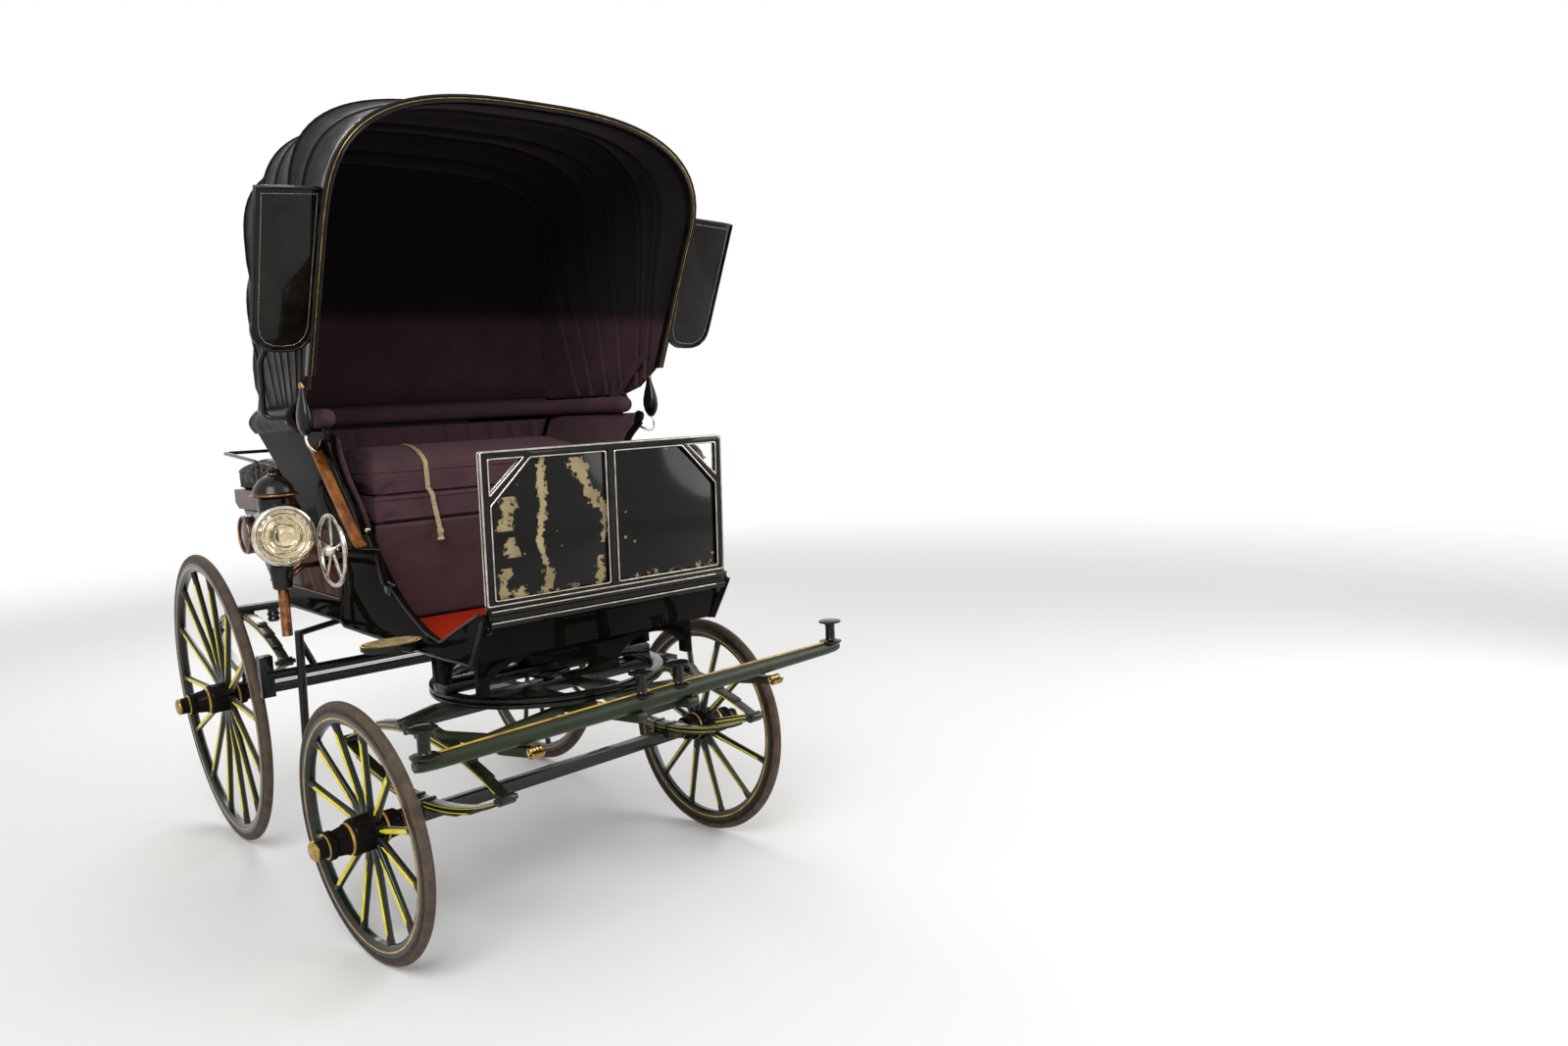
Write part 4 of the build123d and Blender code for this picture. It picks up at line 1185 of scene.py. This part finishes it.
    def fall(self):
        """The cloth that hangs from the seat's front edge to the carpet, with shallow folds."""
        half, back, down = 427, 112, 360
        rows = []
        for i in range(25):
            v = i / 24
            row = []
            for j in range(61):
                u = j / 60
                fold = 2.5 * sin(u * 21 + 1.3) * (0.25 + v) + 1.2 * sin(u * 47)
                row.append((-half + 2 * half * u, 345 + back * v + fold, 1320 - down * v))
            rows.append(row)
        obj = sheet_piece("seat_fall_cloth", rows, "cloth", "purple_cloth", 5, ["seat_fall"])


class PHAETON_OT_dash(bpy.types.Operator):
    """Dash: iron frame, worn patent leather and its beading"""
    bl_idname = "phaeton.dash"
    bl_label = "Dash"

    def execute(self, context):
        dressed("dash_frame", "patent", 4.5)
        dressed("dash_leather", "peeled", 1)
        half, high = DASH["half"] - 10, DASH["high"]
        panel = [(15 - half, 54), (15 - half, 333), (149 - half, 467), (-16, 467), (-16, 54)]
        corner = [(13 - half, 361), (13 - half, 469), (129 - half, 469)]
        border = [(-9 - half, 40), (-9 - half, high + 9), (half + 9, high + 9), (half + 9, 40)]
        inner = [panel, [(-x, up) for x, up in panel], corner, [(-x, up) for x, up in corner]]
        for name, outlines, out, r in (("dash_panel_beads", inner, 9.0, 0.0026),
                                       ("dash_edge_bead", [border], 8.0, 0.003)):
            paths = [[dash_point(x, up, face * out) for x, up in rounded(outline)]
                     for outline in outlines for face in (1, -1)]
            lines(name, paths, "nickel", "steel", closed=True, Radius=r)
        rails = [[dash_point(x, up, 8) for x in range(-430, 431, 43)] for up in (-14, 20)]
        lines("dash_rails", rails, "patent", "black_iron", Radius=0.011, Sides=16)
        edges = [[dash_point(x, up, 18) for x in range(-428, 429, 43)] for up in (-8, 26)]
        lines("dash_rail_beads", edges, "nickel", "steel", Radius=0.0024)
        return {"FINISHED"}


def rounded(outline):
    """A closed flat outline with its corners rounded, 6 mm from each corner."""
    out = []
    for i, here in enumerate(outline):
        a, b, c = Vector(outline[i - 1]), Vector(here), Vector(outline[(i + 1) % len(outline)])
        first, last = b + (a - b).normalized() * 6, b + (c - b).normalized() * 6
        for t in (0, 1 / 3, 2 / 3, 1):
            out.append(tuple((1 - t) ** 2 * first + 2 * t * (1 - t) * b + t * t * last))
    return out


def dash_point(x, up, out):
    """A point of the dash's plane, up mm above its foot and out mm in front of it."""
    lean = atan2(DASH["lean"], DASH["high"])
    return (x, DASH["y"] - up * sin(lean) - out * cos(lean), DASH["z"] + up * cos(lean) - out * sin(lean))


ROWS = 4                   # rows of the hood's skin from one bow to the next


def arch(bow, inset=0.0):
    """One hood bow from its right foot over the crown to its left foot, drawn in by inset."""
    half, foot, shoulder, crown, square = bow
    out = []
    for i in range(8):
        q = i / 8
        out.append((half - inset, foot[0] + q * (shoulder[0] - foot[0]),
                    foot[1] + q * (shoulder[1] - foot[1])))
    rise = crown[1] - shoulder[1]
    for i in range(21):
        t = pi / 2 * i / 20
        up = sin(t) ** (2 / square)
        lean = 1 - (1 - up) ** 2
        out.append(((half - inset) * cos(t) ** (2 / square), shoulder[0] + lean * (crown[0] - shoulder[0]),
                    shoulder[1] + (rise - inset) * up))
    return mirrored(out) + out[-2::-1]


class PHAETON_OT_hood(bpy.types.Operator):
    """Hood: leather over its bows, cloth lining, front hoop, wings and irons"""
    bl_idname = "phaeton.hood"
    bl_label = "Hood"

    def execute(self, context):
        sizes = context.scene.phaeton_sizes
        outer = self.skin(sizes.hood_sag * 1000)
        for name, rows, finish, slot, thick, replaces in (
                ("hood_leather_skin", outer, "hide", "hood_leather", 2.4, ["hood_leather"]),
                ("hood_lining_skin", inward(outer, 8), "lining", "purple_cloth", 1.6, ()),
                ("hood_skirt_leather", self.skirt(0), "hide", "hood_leather", 2.4, ()),
                ("hood_skirt_lining", self.skirt(5), "lining", "purple_cloth", 1.6, ())):
            self.declare(sheet_piece(name, rows, finish, slot, thick, replaces), rows)
        seams = [inward(outer, -1.2)[ROWS * k] for k in range(1, len(BOWS) - 2)]
        lines("hood_bow_seams", seams, "hide", "hood_leather", Radius=0.0032)
        bows = [inward(outer, 18)[ROWS * k] for k in range(1, len(BOWS) - 3)]
        lines("hood_bows_covered", bows, "lining", "purple_cloth", Radius=0.010, Sides=12)
        sticks = []
        for half, foot, *_ in (BOWS[0], BOWS[3]):
            first, last = Vector(PROP), Vector((half - 22, foot[0] + 26, foot[1] + 60))
            sticks.append([tuple(first.lerp(last, t / 4)) for t in range(5)])
        lines("hood_sticks_covered", sticks + [mirrored(stick) for stick in sticks], "lining", "purple_cloth",
              Radius=0.0132, Sides=14)
        self.front(sizes.bead_radius)
        self.wings(sizes.stitch_step)
        self.joints()
        return {"FINISHED"}

    def skin(self, sag):
        """Rows of the hood's skin, which dips between its bows and is tight along its lower edge."""
        rows, middle = [], Vector((0, 400, 2150))
        for a, b in zip(BOWS, BOWS[1:]):
            first, second = arch(a), arch(b)
            last = len(first) - 1
            for q in range(ROWS):
                t = q / ROWS
                row = []
                for k, (p1, p2) in enumerate(zip(first, second)):
                    dip = sag * 4 * t * (1 - t) * min(1.0, k / 6, (last - k) / 6)
                    p = Vector(p1).lerp(Vector(p2), t)
                    to = middle - p
                    to.y = 0
                    row.append(tuple(p + to.normalized() * dip))
                rows.append(row)
        return rows + [arch(BOWS[-1])]

    def skirt(self, inset):
        """Rows from the hood's lower edge down to the rails of the seat, round the sides and the back."""
        feet = [(half - inset, foot[0], foot[1]) for half, foot, *_ in BOWS[3:-1]]
        back = arch(BOWS[-1], inset)
        top = mirrored(feet) + [(x, y - inset, z) for x, y, z in back] + feet[::-1]
        rail = 617 - inset
        low = [(x * rail / max(abs(x), BOWS[-1][0] - inset), min(y, 944 - inset), 1652) for x, y, z in top]
        rows = []
        for i in range(9):
            q = i / 8
            swell = 1 + 0.045 * sin(pi * q)
            rows.append([((a[0] + q * (b[0] - a[0])) * swell, a[1] + q * (b[1] - a[1]),
                          a[2] + 2 + q * (b[2] - a[2] - 2)) for a, b in zip(top, low)])
        return rows

    def declare(self, obj, rows):
        """Does nothing with the skin or the rows it was cut from."""

    def front(self, bead_radius):
        """The leather covered front hoop, with beading on its edges and a brass line between them that stands
        in for a painted highlight along the hoop.
        """
        dressed("hood_hoop", "patent", 2)
        beads, line = ([[(x, y - ahead, z) for x, y, z in arch(BOWS[0], inset)] for inset in insets]
                       for ahead, insets in ((32, (-3, 14)), (33.5, (5,))))
        lines("hood_hoop_beads", beads, "patent", "patent_leather", Radius=bead_radius, Sides=10)
        # Painted highlight: a thin brass line along the hoop's middle, where the leather beading shows a
        # glint.
        lines("hood_hoop_line", line, "brass", "brass", Radius=0.0016, Sides=6)

    def wings(self, stitch_step):
        """Two side wings with a piped edge and a stitched line inside it."""
        curve = [(182, -400), (180, -432), (171, -462), (152, -483), (124, -494), (92, -496), (60, -494),
                 (34, -485), (15, -463), (6, -432), (5, -400)]
        flap = [(190 * k / 6, -8 * k / 6) for k in range(7)] + curve
        across = Vector((0.997, -0.075, -0.03)).normalized()
        out = Vector((-0.066, -0.905, -0.42)).normalized()
        place = Matrix((across, out.cross(across), out)).transposed().to_4x4()
        place.translation = (660, -79, 2360)
        beads, rows = [], []
        for s, side in SIDES:
            dressed("hood_wing_" + side, "patent", 3)
            at = Matrix.Diagonal((s, 1, 1, 1)) @ place
            beads += [[tuple(at @ Vector((x, y, z))) for x, y in flap] for z in (1, 13)]
            rows.append([tuple(at @ Vector((94 + (x - 94) * 0.84, -246 + (y + 246) * 0.935, 14.6)))
                         for x, y in flap])
        lines("hood_wing_beads", beads, "patent", "patent_leather", closed=True, Radius=0.0042, Sides=10)
        lines("hood_wing_stitches", rows, "nickel", "patent_leather", "stitches", closed=True,
              Step=stitch_step, Width=0.0018, Height=0.0018, Length=0.0065)

    def joints(self):
        """The irons, and the leather pockets over the joints at the hood's front feet."""
        dressed("hood_irons", "iron", 0)
        pear = [(0, 0), (0, 9), (8, 20), (24, 32), (46, 38), (70, 37), (98, 29), (124, 19), (146, 12),
                (158, 10), (160, 0)]
        cap = [(152, 0), (152, 13), (158, 14), (166, 13), (171, 8), (172, 0)]
        hook = curve_through([(664, 240, 1648), (668, 232, 1628), (662, 222, 1604), (646, 226, 1590),
                              (626, 248, 1598), (608, 272, 1622)], 5)
        stands = [Matrix.Translation((s * 664, 242, 1640)) @ Matrix.Diagonal((0.62, 1, 1, 1)) @ UPRIGHT
                  for s, _ in SIDES]
        for name, shape, finish, slot, smooth in (
                ("hood_joint_pockets", lathe(pear, 28), "patent", "patent_leather", 60),
                ("hood_joint_caps", lathe(cap, 24), "brass", "brass", 40)):
            piece(name, joined([moved(shape, stand) for stand in stands]), finish, slot, smooth=smooth)
        lines("hood_joint_hooks", [hook, mirrored(hook)], "nickel", "steel", Radius=0.005, Sides=10)


def inward(rows, amount):
    """A grid of points moved square to itself by amount mm, towards the hood's room."""
    middle, last, out = Vector((0, 420, 2100)), len(rows) - 1, []
    for i, row in enumerate(rows):
        line, end = [], len(row) - 1
        for j, spot in enumerate(row):
            along = Vector(rows[min(i + 1, last)][j]) - Vector(rows[max(i - 1, 0)][j])
            across = Vector(row[min(j + 1, end)]) - Vector(row[max(j - 1, 0)])
            square = along.cross(across).normalized()
            side = 1 if square.dot(middle - Vector(spot)) > 0 else -1
            line.append(tuple(Vector(spot) + square * side * amount))
        out.append(line)
    return out


class PHAETON_OT_lamps(bpy.types.Operator):
    """Two round lamps on their stems"""
    bl_idname = "phaeton.lamps"
    bl_label = "Lamps"

    def execute(self, context):
        dressed("lamp_left", "iron", 1)
        dressed("lamp_right", "iron", 1)
        dressed("lamp_stems", "copper", 0)
        # Profiles from the face back: place in front of the lens seat, radius.
        lens = [(24, 0), (23, 12), (19, 22), (13, 29), (10, 31), (14, 36), (12, 44), (7, 47), (11, 52),
                (8, 60), (4, 63), (-3, 63), (-3, 0)]
        facets = [(4, 63.2), (10, 68), (6, 76), (0, 82), (-4, 82), (-4, 63.2), (4, 63.2)]
        dish = [(-4, 83), (-7, 70), (-10, 40), (-11, 0), (-11.8, 0), (-11.8, 83), (-4, 83)]
        rim = [(-2, 81.5), (1, 84), (0, 90), (-5, 95), (-12, 96), (-18, 92), (-20, 88), (-14, 83), (-2, 81.5)]
        # The round window in each lamp's outer side, from the lamp's axis.
        port = [(100, 0), (99, 20), (96, 38), (93, 49), (90, 49), (90, 0)]
        x, y, z = LAMP["x"], LAMP["y"], LAMP["z"]
        faces = [Matrix.Translation((s * x, y, z)) @ AHEAD for s, _ in SIDES]
        outsides = [Matrix.Translation((s * x, y + 70, z + 10)) @ Matrix.Rotation(0 if s > 0 else pi, 4, "Z")
                    for s, _ in SIDES]
        for name, shape, finish, slot, smooth, spots, replaces in (
                ("lamp_lenses_pressed", lathe(lens, 64), "glass", "glass", 40, faces, ["lamp_lenses"]),
                ("lamp_lens_facets", lathe(facets, 18), "glass", "glass", 4, faces, ()),
                ("lamp_reflectors", lathe(dish, 64), "silver", "steel", 60, faces, ()),
                ("lamp_rims", lathe(rim, 64), "nickel", "steel", 50, faces, ()),
                ("lamp_port_glasses", lathe(port, 40), "glass", "glass", 50, outsides, ())):
            piece(name, joined([moved(shape, spot) for spot in spots]), finish, slot, replaces, smooth=smooth)
        rings = []
        for s, _ in SIDES:
            rings += [ellipse((s * x, y + 70, z + up), r, r, n) for up, r, n in ((124, 68, 48), (60, 48, 48),
                                                                                 (188, 11, 16))]
            rings.append([(s * (x + 97), y + 70 + 55 * cos(k * pi / 24), z + 10 + 55 * sin(k * pi / 24))
                          for k in range(48)])
        lines("lamp_edge_rings", rings, "copper", "copper", closed=True, Radius=0.0034, Sides=10)
        return {"FINISHED"}


class PHAETON_OT_brake(bpy.types.Operator):
    """Brake wheel, shaft, bar and blocks, and the two steps"""
    bl_idname = "phaeton.brake"
    bl_label = "Brake and steps"

    def execute(self, context):
        dressed("brake_wheel", "nickel", 0)
        x, y, z = HAND["x"] + 22, HAND["y"], HAND["z"]
        elbow = filleted([(x, y, z), (-500, y, z), (-500, 196, 1130), (-434, 201, 1119)], 24)
        obj = lines("brake_shaft_round", [elbow], "iron", "black_iron", Radius=0.011, Sides=20)
        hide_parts("brake_shaft")
        flange = lathe([(0, 0), (0, 26), (5, 26), (9, 18), (14, 15), (14, 0)], 24)
        place = Matrix.Translation((-BODY_IN - PANEL, 200, 1121)) @ Matrix.Rotation(pi, 4, "Z")
        piece("brake_shaft_flange", moved(flange, place), "iron", "black_iron")
        dressed("brake_bar", "iron")
        dressed("steps", "iron")
        # Rings of a step's pad: z, half its width across, half its depth.
        pad = ((990, 82, 53), (994, 82, 53), (996, 79, 50), (995, 70, 42))
        treads = [loft([ellipse((s * 565, -60, z), a, b) for z, a, b in pad]) for s, _ in SIDES]
        piece("step_treads", joined(treads), "tread", "step_pad", smooth=40)
        ribs = [ellipse((s * 565, -60, 992.5), 89, 60, 72) for s, _ in SIDES]
        lines("step_ribs", ribs, "brass", "brass", "stitches", closed=True, Step=0.0075, Width=0.013,
              Height=0.006, Length=0.0055)
        return {"FINISHED"}


class PHAETON_OT_rear_seat(bpy.types.Operator):
    """Groom's seat behind: board, cushion and rail"""
    bl_idname = "phaeton.rear_seat"
    bl_label = "Rear seat"

    def execute(self, context):
        dressed("rear_seat_board", "board", 4)
        dressed("rear_rail", "iron", 0)
        skin = stuffed("rear_cushion", "hide", 12, 4, self.buttoned)
        paths = []
        for z in (1418, 1482):
            for y, toward in ((1250, (0, 1, 0)), (1990, (0, -1, 0))):
                paths.append(laid(skin, [(x, y, z) for x in range(-432, 433, 18)], toward, 1.0))
            for s in (1, -1):
                paths.append(laid(skin, [(s * 520, y, z) for y in range(1360, 1871, 18)], (-s, 0, 0), 1.0))
        piping("rear_cushion_piping", paths, "hide", "black_cloth", 0.0038)
        button = lathe([(0, 0), (0, 10), (3, 9), (5, 5), (5.5, 0)], 16)
        spots = [laid(skin, [(x, y, 1700)], (0, 0, -1), -1.0)[0] for x, y in self.buttons()]
        tops = [moved(button, Matrix.Translation(spot) @ UPRIGHT) for spot in spots]
        piece("rear_cushion_buttons", joined(tops), "hide", "black_cloth", smooth=50)
        return {"FINISHED"}

    @staticmethod
    def buttons():
        """Places of the buttons in mm: two rows of four and one of three between."""
        return [(x, y) for y, row in ((1480, (-300, -100, 100, 300)), (1610, (-200, 0, 200)),
                                      (1740, (-300, -100, 100, 300))) for x in row]

    @classmethod
    def buttoned(cls, spot, outwards):
        """A soft hollow round each button."""
        if outwards.z < 0.4:
            return 0.0
        x, y = spot.x * 1000, spot.y * 1000 + MID_Y
        near = min((x - a) ** 2 + (y - b) ** 2 for a, b in cls.buttons()) / 42 ** 2
        return 0.013 / (1 + near) ** 2


class PHAETON_PT_panel(bpy.types.Panel):
    """The carriage's colours, sizes and pieces"""
    bl_label = "Phaeton"
    bl_idname = "PHAETON_PT_panel"
    bl_space_type = "VIEW_3D"
    bl_region_type = "UI"
    bl_category = "Phaeton"

    def draw(self, context):
        for group in (context.scene.phaeton_colours, context.scene.phaeton_sizes):
            for name in group.__annotations__:
                self.layout.prop(group, name)
        for operator in OPERATORS:
            self.layout.operator(operator.bl_idname)


OPERATORS = (PHAETON_OT_stage, PHAETON_OT_wheels, PHAETON_OT_running_gear, PHAETON_OT_body, PHAETON_OT_seat,
             PHAETON_OT_dash, PHAETON_OT_hood, PHAETON_OT_lamps, PHAETON_OT_brake, PHAETON_OT_rear_seat)
CLASSES = (PhaetonColours, PhaetonSizes, PHAETON_PT_panel) + OPERATORS


def register():
    for cls in CLASSES:
        bpy.utils.register_class(cls)
    bpy.types.Scene.phaeton_colours = bpy.props.PointerProperty(type=PhaetonColours)
    bpy.types.Scene.phaeton_sizes = bpy.props.PointerProperty(type=PhaetonSizes)


def unregister():
    del bpy.types.Scene.phaeton_sizes
    del bpy.types.Scene.phaeton_colours
    for cls in reversed(CLASSES):
        bpy.utils.unregister_class(cls)


def main():
    register()
    FINISH.update(make_finishes())
    TREES.update(round_the_hub=ring_tree(), along_the_line=piping_tree(), stitches=stitch_tree())
    for operator in OPERATORS:
        group, name = operator.bl_idname.split(".")
        getattr(getattr(bpy.ops, group), name)()


if __name__ == "__main__":
    main()
